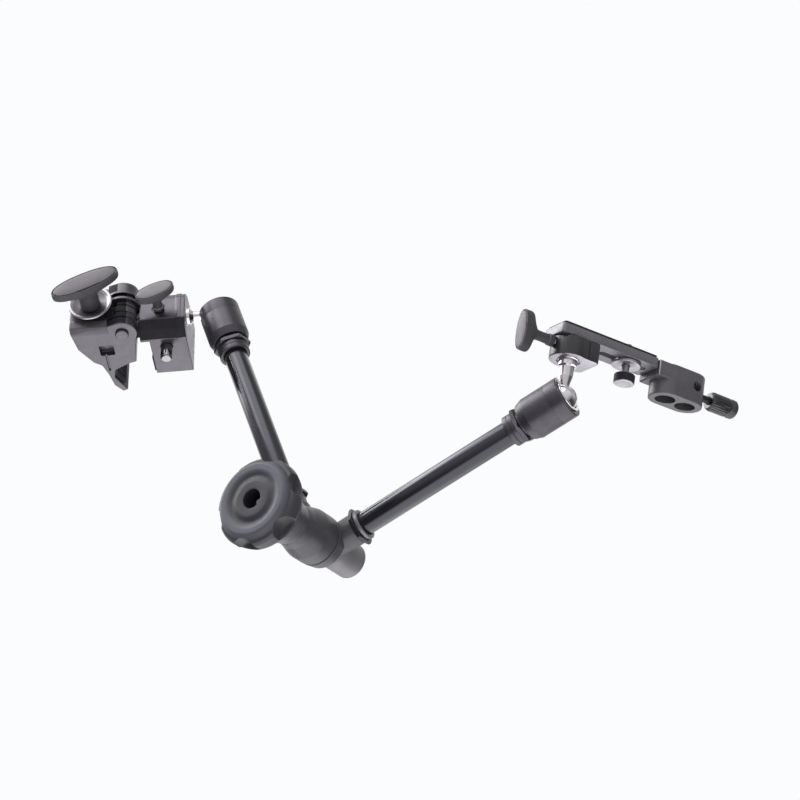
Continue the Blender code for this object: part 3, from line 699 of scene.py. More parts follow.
RIM = [(y * 1.035 if y < 20 else y, z * 1.03) for y, z in
       ([(-12.7, -10.5), (-8.2, -18.3), (-0.4, -22.2), (10, -22.2),
         (10, 22.2)] + [(-0.4, 22.2), (-8.2, 18.3), (-12.7, 10.5)])]
rim = helper(plate_mesh("rim", RIM, -8.0, -3.4), CLAMP @ YZ)
b = rim.modifiers.new("b", "BEVEL")
b.width, b.segments, b.limit_method = 0.0005, 2, "ANGLE"
rim = baked(rim)
join(body, rim)
cut(body,
    rod_tool(8.3, -34, 5, CLAMP @ Matrix.Rotation(pi / 2, 4, "Y"), 96),
    rod_tool(14.0, -2.8, 2.8, at_pin, 96),
    box_tool((-70, -40, -2.8), (-45, -11, 2.8), CLAMP),
    rod_tool(4.3, -30, 30, at_pin),
    plate_tool(slot_outline(-6, 6, 4.6), -16, 16,
               CLAMP @ shift(SCREW_X, 2, 0)
               @ Matrix.Rotation(pi / 2, 4, "X")),
    rod_tool(3.3, 0, 20, SOCKET_SCREW),
    rod_tool(5.6, 11.6, 20, SOCKET_SCREW),
    rod_tool(3.1, -30, 21, LATCH_AT),
    rod_tool(5.2, -30, -14, LATCH_AT))
for yy, zz in ((35.0, 10.0), (35.0, -8.0)):
    cut(body, rod_tool(1.5, -1.2, 4, CLAMP @ shift(0, yy, zz)
                       @ Matrix.Rotation(pi / 2, 4, "Y"), 32))
resharp(body)

jaw_plan = ([(-93, SLAB_Y), (-64, SLAB_Y)]
            + arc(PIN[0], PIN[1], 12.4, -105, 28, 48)
            + [(-42, 2), (-45, 24.5), (-52, 26.5), (-64, 33), (-66, 42),
               (-62, 50), (-57.5, 58), (-62, 60), (-68, 52), (-70.5, 38),
               (-74, 26.5), (-80, 22), (-90, 5), (-93, -14)])
TO_JAW = shift(-PIN[0], -PIN[1], 0)
jaw = settle("jaw_casting", plate_mesh("jaw_casting", jaw_plan, -22.8, 22.8),
             JAW @ TO_JAW, CAST, "moving_jaw", ["moving_jaw"],
             extra=(KNUCKLE_PAINTED_SHADE,))
bevel(jaw, 0.9, 3, 22)
# the lug's front falls away above and below, and ends in a slim chamfer
for s in (1, -1):
    for wedge in ([(-20, 15 * s), (-17.46, 26 * s), (-24, 26 * s),
                   (-24, 15 * s)],
                  [(-20.4, 20.1 * s), (-11.2, 23.1 * s), (-11.2, 26 * s),
                   (-26, 26 * s), (-26, 20.1 * s)]):
        cut(jaw, helper(plate_mesh("wedge", wedge, -100, -62.0), CLAMP @ YZ))
bevel(jaw, 0.35, 2, 12)
cut(jaw,
    plate_tool([(-110, -12), (-30, -12), (-30, 14), (-66, 14), (-69, 22.3),
                (-110, 22.3)], -12.5, 12.5, JAW @ TO_JAW),
    rod_tool(12.6, -12.5, 12.5, JAW, 96))
lobe = helper(plate_mesh("lobe", arc(0, 0, 12.0, -90, 180, 60)
                         + [(-17.5, 0), (-17.5, -8.9), (-5, -8.9),
                            (-3, -11.5)], -2.5, 2.5), JAW)
join(jaw, lobe)
# ribs turned into the hinge lobes
def rib_groove(z):
    ring = lathe_mesh("groove", [(11.3, z - 0.6), (11.3, z + 0.6),
                                 (14.5, z + 1.1), (14.5, z - 1.1)], 96, True)
    return helper(ring, JAW)


for z in (10.6, 4.4, -1.6, -8.9, -15.2):
    cut(jaw if abs(z) > 12.3 or abs(z) < 2.5 else body, rib_groove(z))
resharp(body)
by_normal(body, lambda c, n: n.z > 0.95 and c.z > -0.6, 1)
# the barrel's lower front facets take the painted shade
by_normal(body, lambda c, n: n.y < -0.42 and n.x < -0.3 and c.x < 1.5
          and c.y < -10.0, 3)
# the left half of the body's hinge lobes takes the near-black painted shade
by_normal(body, lambda c, n: (c.z - PIN[0]) ** 2 + (c.x - PIN[1]) ** 2 < 170
          and abs(c.y) < 12.4 and c.z < PIN[0] + 5, 2)
cut(jaw, rod_tool(4.3, -30, 30, JAW),
    rod_tool(4.5, 5, 30, JAW_SCREW),
    # window and slim groove in the lower web
    plate_tool(rounded_box(-72.6, -60.7, 2, 14, 1.5), -30, -18, JAW @ TO_JAW),
    plate_tool(rounded_box(-69.2, -67.6, 12, 33, 0.7), -30, -21.4,
               JAW @ TO_JAW))
resharp(jaw)
# the jaw's hinge lobe takes the near-black painted shade
by_normal(jaw, lambda c, n: (c.x - PIN[0]) ** 2 + (c.y - PIN[1]) ** 2 < 170
          and -22.0 < c.z < 12.6 and c.x < PIN[0] + 5, 1)

turned("hinge_pin", [(0, 24.9), (4.8, 24.9), (5.5, 24.3), (5.5, 23.1),
                     (4.0, 23.1), (4.0, -23.1), (5.5, -23.1), (5.5, -24.3),
                     (4.8, -24.9), (0, -24.9)], JAW, CAST, "clamp",
       ["jaw_hinge_pin"], r=0.25)
for i in range(9):
    z = -18.0 + i * 4.5
    if i == 0:
        pad = settle("fixed_pad", box_mesh((-32.2, 25.7, -19.9),
                                           (-31.0, 40.3, 19.9)),
                     CLAMP, RUBBER, "clamp", ["fixed_jaw_pad"], None)
    join(pad, box_tool((-32.5, 25.7, z - 0.6), (-31.6, 40.3, z + 2.6), CLAMP))
bevel(pad, 0.15, 2)


def offset_path(pts, d):
    out = []
    for i, p in enumerate(pts):
        ns = []
        for a, b in ((i - 1, i), (i, i + 1)):
            if a >= 0 and b < len(pts):
                v = Vector(pts[b]) - Vector(pts[a])
                ns.append(Vector((-v.y, v.x)).normalized())
        n = sum(ns, Vector((0, 0))).normalized()
        out.append(tuple(Vector(p) + n * (d / n.dot(ns[0]))))
    return out


grip = [(-60.2, 53.2), (-62, 50), (-66, 42), (-64, 33)]
grip_pad = settle("jaw_grip_pad",
                  plate_mesh("grip", offset_path(grip, 0.3)
                             + list(reversed(offset_path(grip, 1.8))),
                             -20, 20),
                  JAW @ TO_JAW, RUBBER, "moving_jaw", ["moving_jaw_pad"],
                  None)
for i in range(9):
    z = -18.0 + i * 4.5
    cut(grip_pad, plate_tool(offset_path(grip, 1.4)
                             + list(reversed(offset_path(grip, 2.6))),
                             z + 2.2, z + 3.4, JAW @ TO_JAW))


def thread_mesh(name, r, z0, z1, pitch, depth, seg=40, tip=0.8, step=None):
    """A rod with one helical groove, coned at both ends."""
    step = step or pitch / 5
    rows = max(8, int((z1 - z0) / step))
    mesh = bpy.data.meshes.new(name)
    bm = bmesh.new()
    loops = []
    for j in range(rows + 1):
        z = z0 + (z1 - z0) * j / rows
        edge = min(1.0, min(z - z0, z1 - z) / tip)
        ring = []
        for i in range(seg):
            t = ((z / pitch) - i / seg) % 1.0
            rr = r - depth * (1 - abs(2 * t - 1) * 1.0) - (1 - edge) * depth
            ring.append(bm.verts.new((rr * MM * cos(2 * pi * i / seg),
                                      rr * MM * sin(2 * pi * i / seg),
                                      z * MM)))
        loops.append(ring)
    for a, b in zip(loops, loops[1:]):
        for i in range(seg):
            j = (i + 1) % seg
            bm.faces.new((a[i], a[j], b[j], b[i]))
    for loop in (loops[0], loops[-1]):
        c = bm.verts.new(sum((v.co for v in loop), Vector()) / seg)
        for i in range(seg):
            bm.faces.new((loop[i], loop[(i + 1) % seg], c))
    bmesh.ops.recalc_face_normals(bm, faces=bm.faces)
    bm.to_mesh(mesh)
    bm.free()
    return mesh


settle("jaw_screw_thread", thread_mesh("jaw_thread", 4.0, -21.5, 44.0, 1.75,
                                       0.5),
       JAW_SCREW, STEEL, "jaw_wing", ["jaw_screw"], 50)
NUT_C = -14.3
barrel_nut = settle("barrel_nut",
                    plate_mesh("nut", arc(0, NUT_C, 6.0, 10, 170, 40)
                               + [(-5.9, -15.3), (5.9, -15.3)], -11, 11),
                    JAW_SCREW @ Matrix(((1, 0, 0, 0), (0, 0, -1, 0),
                                        (0, 1, 0, 0), (0, 0, 0, 1))),
                    STEEL, "jaw_nut", ["jaw_nut"])
bevel(barrel_nut, 0.3, 2)
cut(barrel_nut, rod_tool(4.2, -30, 0, JAW_SCREW))
resharp(barrel_nut)

CUP_R, CUP_T = 28.2, 1.6
cup_c = -SLAB_Y + GAP + CUP_R


def cup_side(r, r0, r1, n):
    return [(r0 + (r1 - r0) * i / n,
             cup_c - sqrt(r * r - (r0 + (r1 - r0) * i / n) ** 2), 0)
            for i in range(n + 1)]


dish = turned("dished_cup", [(18.0, 27.2, 0.75), (18.0, 25.6, 0.7)]
       + cup_side(CUP_R, 17.0, 4.6, 20)
       + cup_side(CUP_R - CUP_T, 4.6, 15.6, 20) + [(16.2, 27.2, 0.75)],
       JAW_SCREW, CUP, "jaw_wing", ["thrust_cup"], 128, ring=True)
# the lip takes the lighter faced alloy, a painted highlight along the rim
dish.data.materials.append(BRIGHT)
by_normal(dish, lambda c, n: c.z > 25.9, 1)

# the handles: a turned neck that spreads into an oval, softly crowned grip
jaw_keys = [(7.6, 7.6, 23.8, 2.0), (8.0, 8.0, 24.3, 2.0),
            (8.0, 8.0, 36.0, 2.0), (9.0, 8.1, 39.4, 2.0),
            (14.5, 8.6, 42.2, 2.1), (22.5, 9.0, 44.0, 2.2),
            (27.6, 9.3, 45.3, 2.25), (28.5, 9.6, 46.6, 2.25),
            (28.6, 9.6, 49.4, 2.25), (28.5, 9.6, 51.4, 2.25)]
crown = [(28.25, 9.35, 51.9, 2.25), (27.85, 9.0, 51.95, 2.25),
         (27.6, 8.75, 51.0, 2.25), (27.0, 8.15, 51.0, 2.25),
         (26.85, 8.0, 52.0, 2.25),
         (26.4, 7.75, 52.5, 2.25), (25.0, 7.1, 53.0, 2.25),
         (21.0, 5.8, 53.65, 2.2), (15.0, 4.0, 54.0, 2.15),
         (7.5, 1.9, 54.17, 2.1), (1.0, 0.3, 54.2, 2.0)]
handle = settle("jaw_wing_grip",
                loft_mesh("jaw_grip", wing_rings(jaw_keys, 24, 4)
                          + [oval(a, b, z, 24, power=p)
                             for a, b, z, p in crown]),
                JAW_SCREW, HANDLE, "jaw_wing", ["jaw_wing_handle"],
                extra=(HANDLE_SIDE_PAINTED_SHADE,))
cut(handle, rod_tool(4.3, 20, 44.3, JAW_SCREW))
resharp(handle, 40)
# the sides and underside take the painted shade
by_normal(handle, lambda c, n: n.z < 0.45, 1)


def small_wing(name, at, body_name, cad, keys, top, tilt, bore, mat):
    ob = settle(name, loft_mesh(name, wing_rings(keys, tilt, 4)
                                + [oval(a, b, z, tilt, power=p)
                                   for a, b, z, p in top]),
                at, mat, body_name, [cad], extra=(HANDLE_SIDE_PAINTED_SHADE,))
    cut(ob, rod_tool(3.3, 10, bore, at))
    # the sides and underside take the painted shade
    by_normal(ob, lambda c, n: n.z < 0.45, 1)
    return resharp(ob, 40)


def wing_top(z):
    return [(16.2, 7.25, z - 1.6, 2.25), (15.9, 7.0, z - 1.5, 2.25),
            (15.7, 6.85, z - 2.2, 2.25), (15.25, 6.4, z - 2.2, 2.25),
            (15.1, 6.25, z - 1.4, 2.25), (14.7, 6.0, z - 1.0, 2.25),
            (13.0, 5.3, z - 0.6, 2.2),
            (9.5, 3.9, z - 0.2, 2.2), (5.0, 2.0, z - 0.05, 2.1),
            (0.8, 0.3, z, 2.0)]


small_wing("socket_wing_grip", SOCKET_SCREW, "socket_wing",
           "socket_wing_handle",
           [(4.4, 4.4, 13.1, 2.0), (4.6, 4.6, 13.5, 2.0),
            (4.6, 4.6, 16.0, 2.0), (4.0, 4.0, 16.9, 2.0),
            (4.0, 4.0, 22.2, 2.0), (6.5, 6.0, 25.5, 2.1),
            (11.5, 6.6, 27.4, 2.2), (15.2, 7.1, 28.7, 2.25),
            (16.4, 7.45, 30.0, 2.25), (16.5, 7.5, 32.5, 2.25),
            (16.4, 7.4, 35.0, 2.25)], wing_top(37.0), 24, 31.3,
           SMALL_HANDLE)
small_wing("block_wing_grip", BLOCK_SCREW, "block_wing", "block_wing_handle",
           [(4.4, 4.4, 16.0, 2.0), (4.6, 4.6, 16.4, 2.0),
            (4.6, 4.6, 20.0, 2.0), (4.0, 4.0, 21.5, 2.0),
            (4.1, 4.1, 31.0, 2.0), (6.5, 6.0, 34.0, 2.1),
            (11.5, 6.6, 35.8, 2.2), (15.2, 7.1, 36.9, 2.25),
            (16.4, 7.45, 38.2, 2.25), (16.5, 7.5, 41.0, 2.25),
            (16.4, 7.4, 44.0, 2.25)], wing_top(46.0), 0, 40.3,
           HANDLE)
settle("socket_screw_thread", thread_mesh("sst", 3.0, 6.6, 31.0, 1.25, 0.35),
       SOCKET_SCREW, STEEL, "socket_screw", ["socket_screw"], 50)
settle("block_screw_thread", thread_mesh("bst", 3.0, 6.8, 40.0, 1.25, 0.35),
       BLOCK_SCREW, STEEL, "block_screw", ["block_screw"], 50)

turned("latch_plunger",
       [(0, 19.5), (2.8, 19.5), (2.8, 15.2), (1.0, 15.2), (1.0, 5.2),
        (2.8, 5.2), (2.8, -16), (4.8, -16, 0.2), (4.8, -18.2, 0.1),
        (4.4, -18.5, 0.1), (4.4, -19.1, 0.1), (4.8, -19.4, 0.1),
        (4.8, -35.0, 0.6), (3.6, -36, 0.3), (0, -36)],
       LATCH_AT, PLATED, "latch", ["latch_pin"], 72, r=0.2)


# ------------------------------------------------------------ studs and heads
def stud(name, at, body_name, cad, shape):
    pts = shape + [(BALL_R * sin(t), BALL_R * cos(t), 0)
                   for t in (radians(17.5 + (180 - 17.5) * k / 36)
                             for k in range(36))]
    return turned(name, pts + [(0, -BALL_R)], at, CHROME, body_name, [cad],
                  112, r=0.25)


stud("clamp_spigot", STUD_1, "clamp_stud", "clamp_stud",
     [(0, 60.2), (7.2, 60.2), (8, 59.2), (8, 53.7), (6.2, 52.6),
      (6.2, 41.2), (8, 40.2), (8, 31.2, 0.1), (7.7, 31.0, 0.1),
      (7.7, 30.4, 0.1), (8, 30.2, 0.1), (8, 27.6), (7.15, 26.8),
      (7.15, 24.6), (3.9, 21.5, 1.2), (3.55, 12.6, 0.5)])
stud("bracket_spigot", BRACKET, "bracket_stud", "bracket_stud",
     [(0, 46.7), (7.2, 46.7), (6.2, 45.6), (6.2, 38.4), (8, 37.4),
      (8, 31.4), (7.2, 31.0), (7.2, 26.5), (5.65, 25.8, 1.0),
      (5.2, 18.0, 2.0), (3.6, 11.6, 0.4)])

CAM_AT = Vector((0.30144, -1.53178, -1.38637))


def seen_angle(at):
    """The azimuth about a frame's axis that faces the photograph's view."""
    v = at.inverted() @ CAM_AT
    return atan2(v.y, v.x)


def about(at, angle):
    return at @ Matrix.Rotation(angle, 4, "Z")


def stud_way(notch, at):
    """A round-bottomed slot that runs out at the head's end."""
    pts = ([(8, -notch), (8, notch)]
           + [(-0.3 - notch * cos(radians(a)), notch * sin(radians(a)))
              for a in range(80, -81, -10)])
    # drawn in (t, y), with its thickness along the head's x
    m = Matrix(((0, 0, 1, 0), (0, 1, 0, 0), (1, 0, 0, 0), (0, 0, 0, 1)))
    return plate_tool(pts, 0.0, 25.0, at @ m)


def ball_head(n, at, notch, top, arm, rod_body, cap_body):
    label = f"head_{n}_"
    cap = turned(label + "crown",
                 [(0, HEAD_END), (15.0, HEAD_END, 0.3),
                  (HEAD_R, HEAD_END, top), (HEAD_R, -7.12, 0.08),
                  (16.4, -7.14, 0.05), (0, -7.14)],
                 at, HEAD, cap_body, [label + "cap"], 128, n=8)
    cut(cap, ball_tool(11.35, at), stud_way(notch, at))
    resharp(cap)
    collar = turned(label + "keeper",
                    [(12.7, 5.2, 0.3), (13.2, 5.2, 0.4), (13.2, 4.2, 0.1),
                     (10.75, 4.2, 0.1), (10.75, 5.2, 0.5)], at, CHROME,
                    cap_body, [label + "retaining_ring"], 112, ring=True)
    cut(collar, stud_way(notch, at))
    resharp(collar)
    shell = turned(label + "barrel",
                   [(HEAD_R, -7.16, 0.05), (HEAD_R, -28, 1.4),
                    (14.7, -34, 0.4), (4.0, -34, 0.1), (4.0, -17.7, 0.1),
                    (12.4, -17.7, 0.1), (12.4, -7.3, 0.1)],
                   at, HEAD, arm, [label + "housing"], 128, ring=True, n=5)
    resharp(shell)
    settle(label + "seat_cup", lathe_mesh("seat", fillet(
        [(0, -12.0)] + [(11.35 * sin(t), -11.35 * cos(t), 0) for t in
                        (radians(4 + 42 * k / 14) for k in range(15))]
        + [(12.1, -7.6, 0.1), (12.1, -16.7, 0.2), (0, -16.7)]), 96),
        at, STEEL, rod_body, [label + "ball_seat"])
    hexnut(label + "locknut", at, -39.4, -36.4, arm, label + "nut")
    turned(label + "tube_collar",
           [(11, -34.3, 0.1), (11, -39.7, 0.2), (12.5, -39.7, 0.3),
            (12.5, -43.0, 0.1), (12.2, -43.3, 0.1), (12.2, -43.7, 0.1),
            (12.5, -44.0, 0.1), (12.5, -48, 0.7), (9.8, -48, 0.2),
            (9.8, -41, 0.1), (4, -41, 0.1), (4, -34.3, 0.1)],
           at, HEAD, arm, [label + "collar"], 112, ring=True)


def hexnut(name, at, z0, z1, body_name, cad, mat=HEAD):
    """Six flats with turned corners on both faces."""
    r = 15.5
    pts = [(r * cos(radians(60 * k)), r * sin(radians(60 * k)))
           for k in range(6)]
    ob = settle(name, plate_mesh(name, pts, z0, z1), at, mat, body_name,
                [cad])
    cone = [(0, z1), (14.2, z1), (15.7, z1 - 0.8), (15.7, z0 + 0.8),
            (14.2, z0), (0, z0)]
    tool = helper(lathe_mesh("cone", cone, 96), at)
    combine(ob, [tool], "INTERSECT")
    cut(ob, rod_tool(11.15, z0 - 2, z1 + 2, at, 96))
    return resharp(ob)


ball_head(1, HEAD_1, 4.4, 3.0, "upper_arm", "lock_rod_1", "head_1_cap")
ball_head(2, HEAD_2, 4.8, 1.3, "lower_arm", "lock_rod_2", "head_2_cap")


def tube(n, at, length, start, arm, rod_body):
    inner, end = 8.0, length - 41.3
    turned(f"arm_tube_{n}", [(9.5, end, 0.3), (9.5, start, 0.3),
                             (inner, start, 0.2), (inner, end, 0.2)],
           at, TUBE, arm, [f"tube_{n}"], 128, ring=True)
    turned(f"lock_rod_{n}_bar", [(0, length - 17.0), (3.0, length - 17.0),
                                 (3.0, 7.5), (0, 7.5)],
           at, STEEL, rod_body, [f"push_rod_{n}"], 48)
    hexnut(f"elbow_{n}_locknut", at, 29.6, 32.6, arm, f"elbow_{n}_nut",
           DARK_HEAD)
    far = start + 5.0
    turned(f"elbow_{n}_tube_collar",
           [(9.8, far, 0.2), (12.5, far, 0.7), (12.5, 32.9, 0.2),
            (11.0, 32.9, 0.2), (11.0, 29.3, 0.1), (4.0, 29.3, 0.1),
            (4.0, start - GAP, 0.1), (9.8, start - GAP, 0.1)],
           at, ALLOY if n == 2 else DARK_HEAD, arm,
           [f"elbow_{n}_collar"], 112, ring=True)


tube(1, TUBE_1, ARM_1, COLLAR_END_1 - 5.0, "upper_arm", "lock_rod_1")
tube(2, TUBE_2, ARM_2, COLLAR_END_2 - 5.0, "lower_arm", "lock_rod_2")

# -------------------------------------------------------------------- elbow
front = turned("elbow_front_housing",
               [(0, 85.75), (20.6, 85.75, 0.3), (21, 85.4, 0.3),
                (21, 73, 6), (19.9, 68, 6), (17.8, 60, 6),
                (17, 51.36, 0.05), (0, 51.36)],
               KNOB_AT, BULB, "upper_arm", ["elbow_front_knuckle"], 128, n=6)
boss = helper(lathe_mesh("boss", fillet(
    [(0, 29.0), (12.5, 29.0, 0.6), (12.5, 19.8, 2.0), (13.6, 17.2, 2.0),
     (13.6, 6), (0, 6)]), 96), TUBE_1)
join(front, boss)
cut(front, rod_tool(6.4, 40, 100, KNOB_AT), rod_tool(3.4, 0, 40, TUBE_1))
resharp(front)
rear = turned("elbow_rear_housing",
              [(0, 134.6), (13.2, 134.6, 0.4), (14.4, 133.4, 0.4),
               (14.4, 104, 3), (15.5, 100.5, 3), (19.4, 98, 2.5),
               (20.8, 88.2, 0.3), (20.5, 87.1, 0.3), (0, 87.1)],
              REAR_AT, BULB, "lower_arm", ["elbow_rear_knuckle"], 128, n=6)
boss = helper(lathe_mesh("boss", fillet(
    [(0, 29.0), (12.5, 29.0, 0.6), (12.5, 6), (0, 6)]), 96), TUBE_2)
join(rear, boss)
cut(rear, rod_tool(6.4, 70, 150, REAR_AT), rod_tool(10.8, 121, 150, REAR_AT),
    rod_tool(3.4, 0, 40, TUBE_2))
rear.data.materials.append(REAR)
by_normal(rear, lambda c, n: c.z > 99.0 and c.x * c.x + c.y * c.y < 245, 1)
resharp(rear)
turned("elbow_washer", [(19.8, 86.95, 0.2), (19.8, 85.9, 0.2),
                        (6.6, 85.9, 0.1), (6.6, 86.95, 0.1)], REAR_AT, STEEL,
       "lower_arm", ["elbow_thrust_washer"], 112, ring=True)
turned("elbow_lock_bolt",
       [(0, 131.0), (9.4, 131.0), (10.2, 130.2), (10.2, 121.3), (6, 121.3),
        (6, STATION_2 + 5), (4.6, STATION_2 - 4), (6, STATION_2 - 8),
        (6, STATION_1 + 5), (4.6, STATION_1 - 4), (6, STATION_1 - 8),
        (6, 17.0), (5.0, 15.0), (0, 15.0)], REAR_AT, STEEL, "lower_arm",
       ["elbow_bolt"], 80)
turned("rear_cover", [(0, 134.75), (7.2, 134.75, 0.1), (7.5, 134.5, 0.1),
                      (7.8, 134.75, 0.1), (10.4, 134.9, 0.5),
                      (10.4, 131.3, 0.2), (0, 131.3)],
       REAR_AT, BLACK, "lower_arm", ["rear_end_plug"], 96)

def knob_face(r):
    """A flat disc, a soft groove and a broad crowned ring."""
    if r < 13.5:
        return 0.0
    if r < 24.5:
        return (1.5 * sin(pi * (r - 13.5) / 11.0) ** 2
                - 0.2 * (r - 13.5) / 11.0)
    if r < 27.5:
        return -0.2
    return -0.2 + 0.23 * (r - 27.5) ** 2


knob = turned("lock_knob",
              [(10.4, 51.33, 0.1), (17.0, 51.33, 0.05), (17.2, 50.2, 0.5),
               (19.5, 42, 8), (24.0, 31, 8), (30.0, 22.5, 8), (34.0, 18.2, 3),
               (35.7, 14.3, 3), (35.7, 8.2, 1.5), (34.3, 5.4, 1.2),
               (32.2, 4.4, 1.2), (31.6, 3.4, 1.5)]
              + [(r / 2, knob_face(r / 2), 0) for r in range(61, 26, -1)]
              + [(7.8, 0, 0.3), (7.8, 14.0, 0.1),
               (6.5, 14.0, 0.1), (6.5, 20.0, 0.1), (10.4, 20.0, 0.1)],
              KNOB_AT, KNOB, "elbow_knob", ["elbow_knob"], 144, ring=True,
              n=6)
RIGHT = Vector((0.99549909, 0.08987276, -0.03007394))
UP = Vector((0.0811049, -0.64375367, 0.7609226))
v = KNOB_AT.to_3x3().inverted() @ (RIGHT * 0.88 - UP * 0.48)
key_at = KNOB_AT @ Matrix.Rotation(atan2(v.y, v.x), 4, "Z")
join(knob, rod_tool(2.3, 0.25, 16, key_at @ shift(8.0, 0, 0), 32))
for i in range(6):
    a = radians(-20.0 + 60.0 * i)
    cut(knob, rod_tool(12.0, -9, 15.0, KNOB_AT
                       @ shift(40.8 * cos(a), 40.8 * sin(a), 15.5)
                       @ Matrix.Rotation(a, 4, "Z")
                       @ Matrix.Rotation(radians(-9), 4, "Y")
                       @ shift(0, 0, -13.5), 64, 3.0))
knob.data.materials.append(KNOB_RIM_WEAR_AND_HIGHLIGHT)
knob.data.materials.append(BULB)
knob.data.materials.append(SHADE)
# the rim and side take the rim moulding with its painted edge highlights
by_normal(knob, lambda c, n: c.z < 27.0
          and (c.x * c.x + c.y * c.y >= 1040 or abs(n.z) < 0.35
               and c.x * c.x + c.y * c.y > 700), 1)
by_normal(knob, lambda c, n: c.z > 27.0, 2)
# the bore in the middle of the face takes the painted shade
by_normal(knob, lambda c, n: c.z > 0.5 and c.x * c.x + c.y * c.y < 64, 3)
resharp(knob, 36)
turned("knob_sleeve", [(10.1, 50.7), (10.1, 20.3), (6.5, 20.3), (6.5, 50.7)],
       KNOB_AT, STEEL, "knob_bush", ["knob_bush"], 96, ring=True, r=0.2)

# ------------------------------------------------------------------ bracket
block_plan = (arc(0, 0, 15, 70, 290, 72)
              + [(10, -13.6), (16, -14), (19, -12.5), (20, -10), (20, 10),
                 (19, 12.5), (16, 14), (10, 13.6)])
block = settle("swivel_block", plate_mesh("block", block_plan, 31, 47),
               BRACKET, BLACK, "bracket", ["bracket_block"],
               extra=(BRIGHT,))
bevel(block, 0.9, 4, 25)
cut(block, rod_tool(8.3, 20, 60, BRACKET, 96), rod_tool(3.3, 0, 30,
                                                        BLOCK_SCREW),
    rod_tool(2.8, 36, 60, BRACKET @ shift(14.2, 0, 0)),
    rod_tool(9.3, 30.0, 31.7, BRACKET, 96),
    box_tool((8.6, -17, 32.5), (9.6, -12.9, 60), BRACKET),
    box_tool((8.6, 12.9, 32.5), (9.6, 17, 60), BRACKET))
resharp(block)
by_normal(block, lambda c, n: n.z < -0.7 and c.z < 33.0, 1)

bar = settle("slotted_bar",
             plate_mesh("bar", rounded_box(-16, 73.7, -13, 13, 3.0, 10),
                        47.3, 54.5,
                        holes=(slot_outline(30, 66, 3.5, 24),
                               arc(14.2, 0, 2.8, 0, 345, 23))),
             BRACKET, ALLOY, "bracket", ["bracket_bar"])
bevel(bar, 0.5, 3, 40)
join(bar, box_tool((70, -8, 49), (82, 8, 52.5), BRACKET))
resharp(bar)
turned("bar_setscrew", [(0, 53.1), (1.2, 53.1), (1.2, 54.3), (2.5, 54.3),
                        (2.5, 37.0), (0, 37.0)],
       BRACKET @ shift(14.2, 0, 0), STEEL, "bracket", ["bar_screw"], 48,
       r=0.2)
pad = settle("camera_pad",
             plate_mesh("pad", rounded_box(-14, 72, -12, 12, 2.0, 8),
                        54.8, 56.6, holes=(slot_outline(30, 66, 5.0, 24),)),
             BRACKET, RUBBER, "bracket", ["bar_pad"])
bevel(pad, 0.3, 2, 40)
for k in range(11):
    w = -10.5 + 2.9 * k
    if w < 23:
        cut(pad, box_tool((w, -10.5, 56.15), (w + 1.3, 10.5, 58), BRACKET))
resharp(pad)
turned("boss_ring", [(11.5, 46.9, 0.4), (11.5, 44.4, 0.6), (3.4, 44.4, 0.2),
                     (3.4, 46.9, 0.1)], CAMERA_SCREW, BRIGHT, "screw_washer",
       ["boss_washer"], 112, ring=True)
head = turned("camera_screw_head",
              [(0, 37.2), (7.6, 37.2, 0.2), (8.1, 36.6, 0.2),
               (8.1, 30.2, 0.4), (7.5, 29.6, 0.3), (5.4, 29.6, 0.1),
               (5.2, 29.8, 0.1), (0, 29.8)],
              CAMERA_SCREW, BRIGHT, "camera_screw", ["camera_screw"], 96)
for vtx in head.data.vertices:
    x, y, z = vtx.co / MM
    if 30.4 < z < 36.4 and sqrt(x * x + y * y) > 7.9:
        k = 1 - 0.035 * (cos(32 * atan2(y, x)) < 0)
        vtx.co.x *= k
        vtx.co.y *= k
# the knurled sides take the painted shade
head.data.materials.append(SHADE)
by_normal(head, lambda c, n: abs(n.z) < 0.5, 1)
stem = settle("camera_screw_stem", thread_mesh("css", 3.1, 37.1, 62.0, 1.27,
                                               0.35),
              CAMERA_SCREW, STEEL, "camera_screw", ["camera_screw"], 50)

end_plan = (arc(110.1, 0, 13.5, -90, 90, 60)
            + arc(91.4, 0, 13.5, 90, 270, 60))
end = settle("receiver_block", plate_mesh("end", end_plan, 30, 55), BRACKET,
             DARK_ALLOY, "bracket", ["end_block"])
bevel(end, 0.9, 4, 40)
step = helper(box_mesh((74.0, -13.0, 42.0), (96.0, 13.0, 54.7)), BRACKET)
b = step.modifiers.new("b", "BEVEL")
b.width, b.segments = 0.0012, 4
step = baked(step)
join(end, step)
cut(end,
    rod_tool(8.1, 20, 48, BRACKET @ shift(91.4, 0, 0), 96),
    rod_tool(8.1, 20, 48, BRACKET @ shift(110.1, 0, 0), 96),
    box_tool((60, -8.3, 48.7), (82.4, 8.3, 52.8), BRACKET),
    rod_tool(4.1, 0, 30, BRACKET @ shift(111.0, 0, 44.0)
             @ Matrix.Rotation(pi / 2, 4, "X"), 64),
    rod_tool(3.3, 112, 140, END_SCREW))
# the sides of the step take the light faced alloy, painted light on faces
# turned away from the lamps
end.data.materials.append(BRIGHT)
by_normal(end, lambda c, n: c.x < 77.9 and abs(n.y) > 0.8, 1)
resharp(end)
settle("end_screw_thread", thread_mesh("est", 3.0, 118.6, 148.0, 1.25, 0.35),
       END_SCREW, DARK_HEAD, "end_screw", ["end_screw"], 50)
grip_knob = turned("end_knob_grip",
                   [(3.3, 157, 0.1), (6.2, 157, 0.5), (7.5, 155.6, 0.8),
                    (7.7, 152.5, 1.0), (7.2, 150.2, 0.3), (7.2, 149.6, 0.3),
                    (7.5, 149.0, 0.2), (7.5, 134.5, 0.6), (6.4, 132, 0.5),
                    (3.3, 132, 0.1)], END_SCREW, BLACK, "end_knob",
                   ["end_knob"], 192, ring=True)
grip_knob.data.materials.append(GREY)
by_normal(grip_knob, lambda c, n: c.z > 150.3, 1)
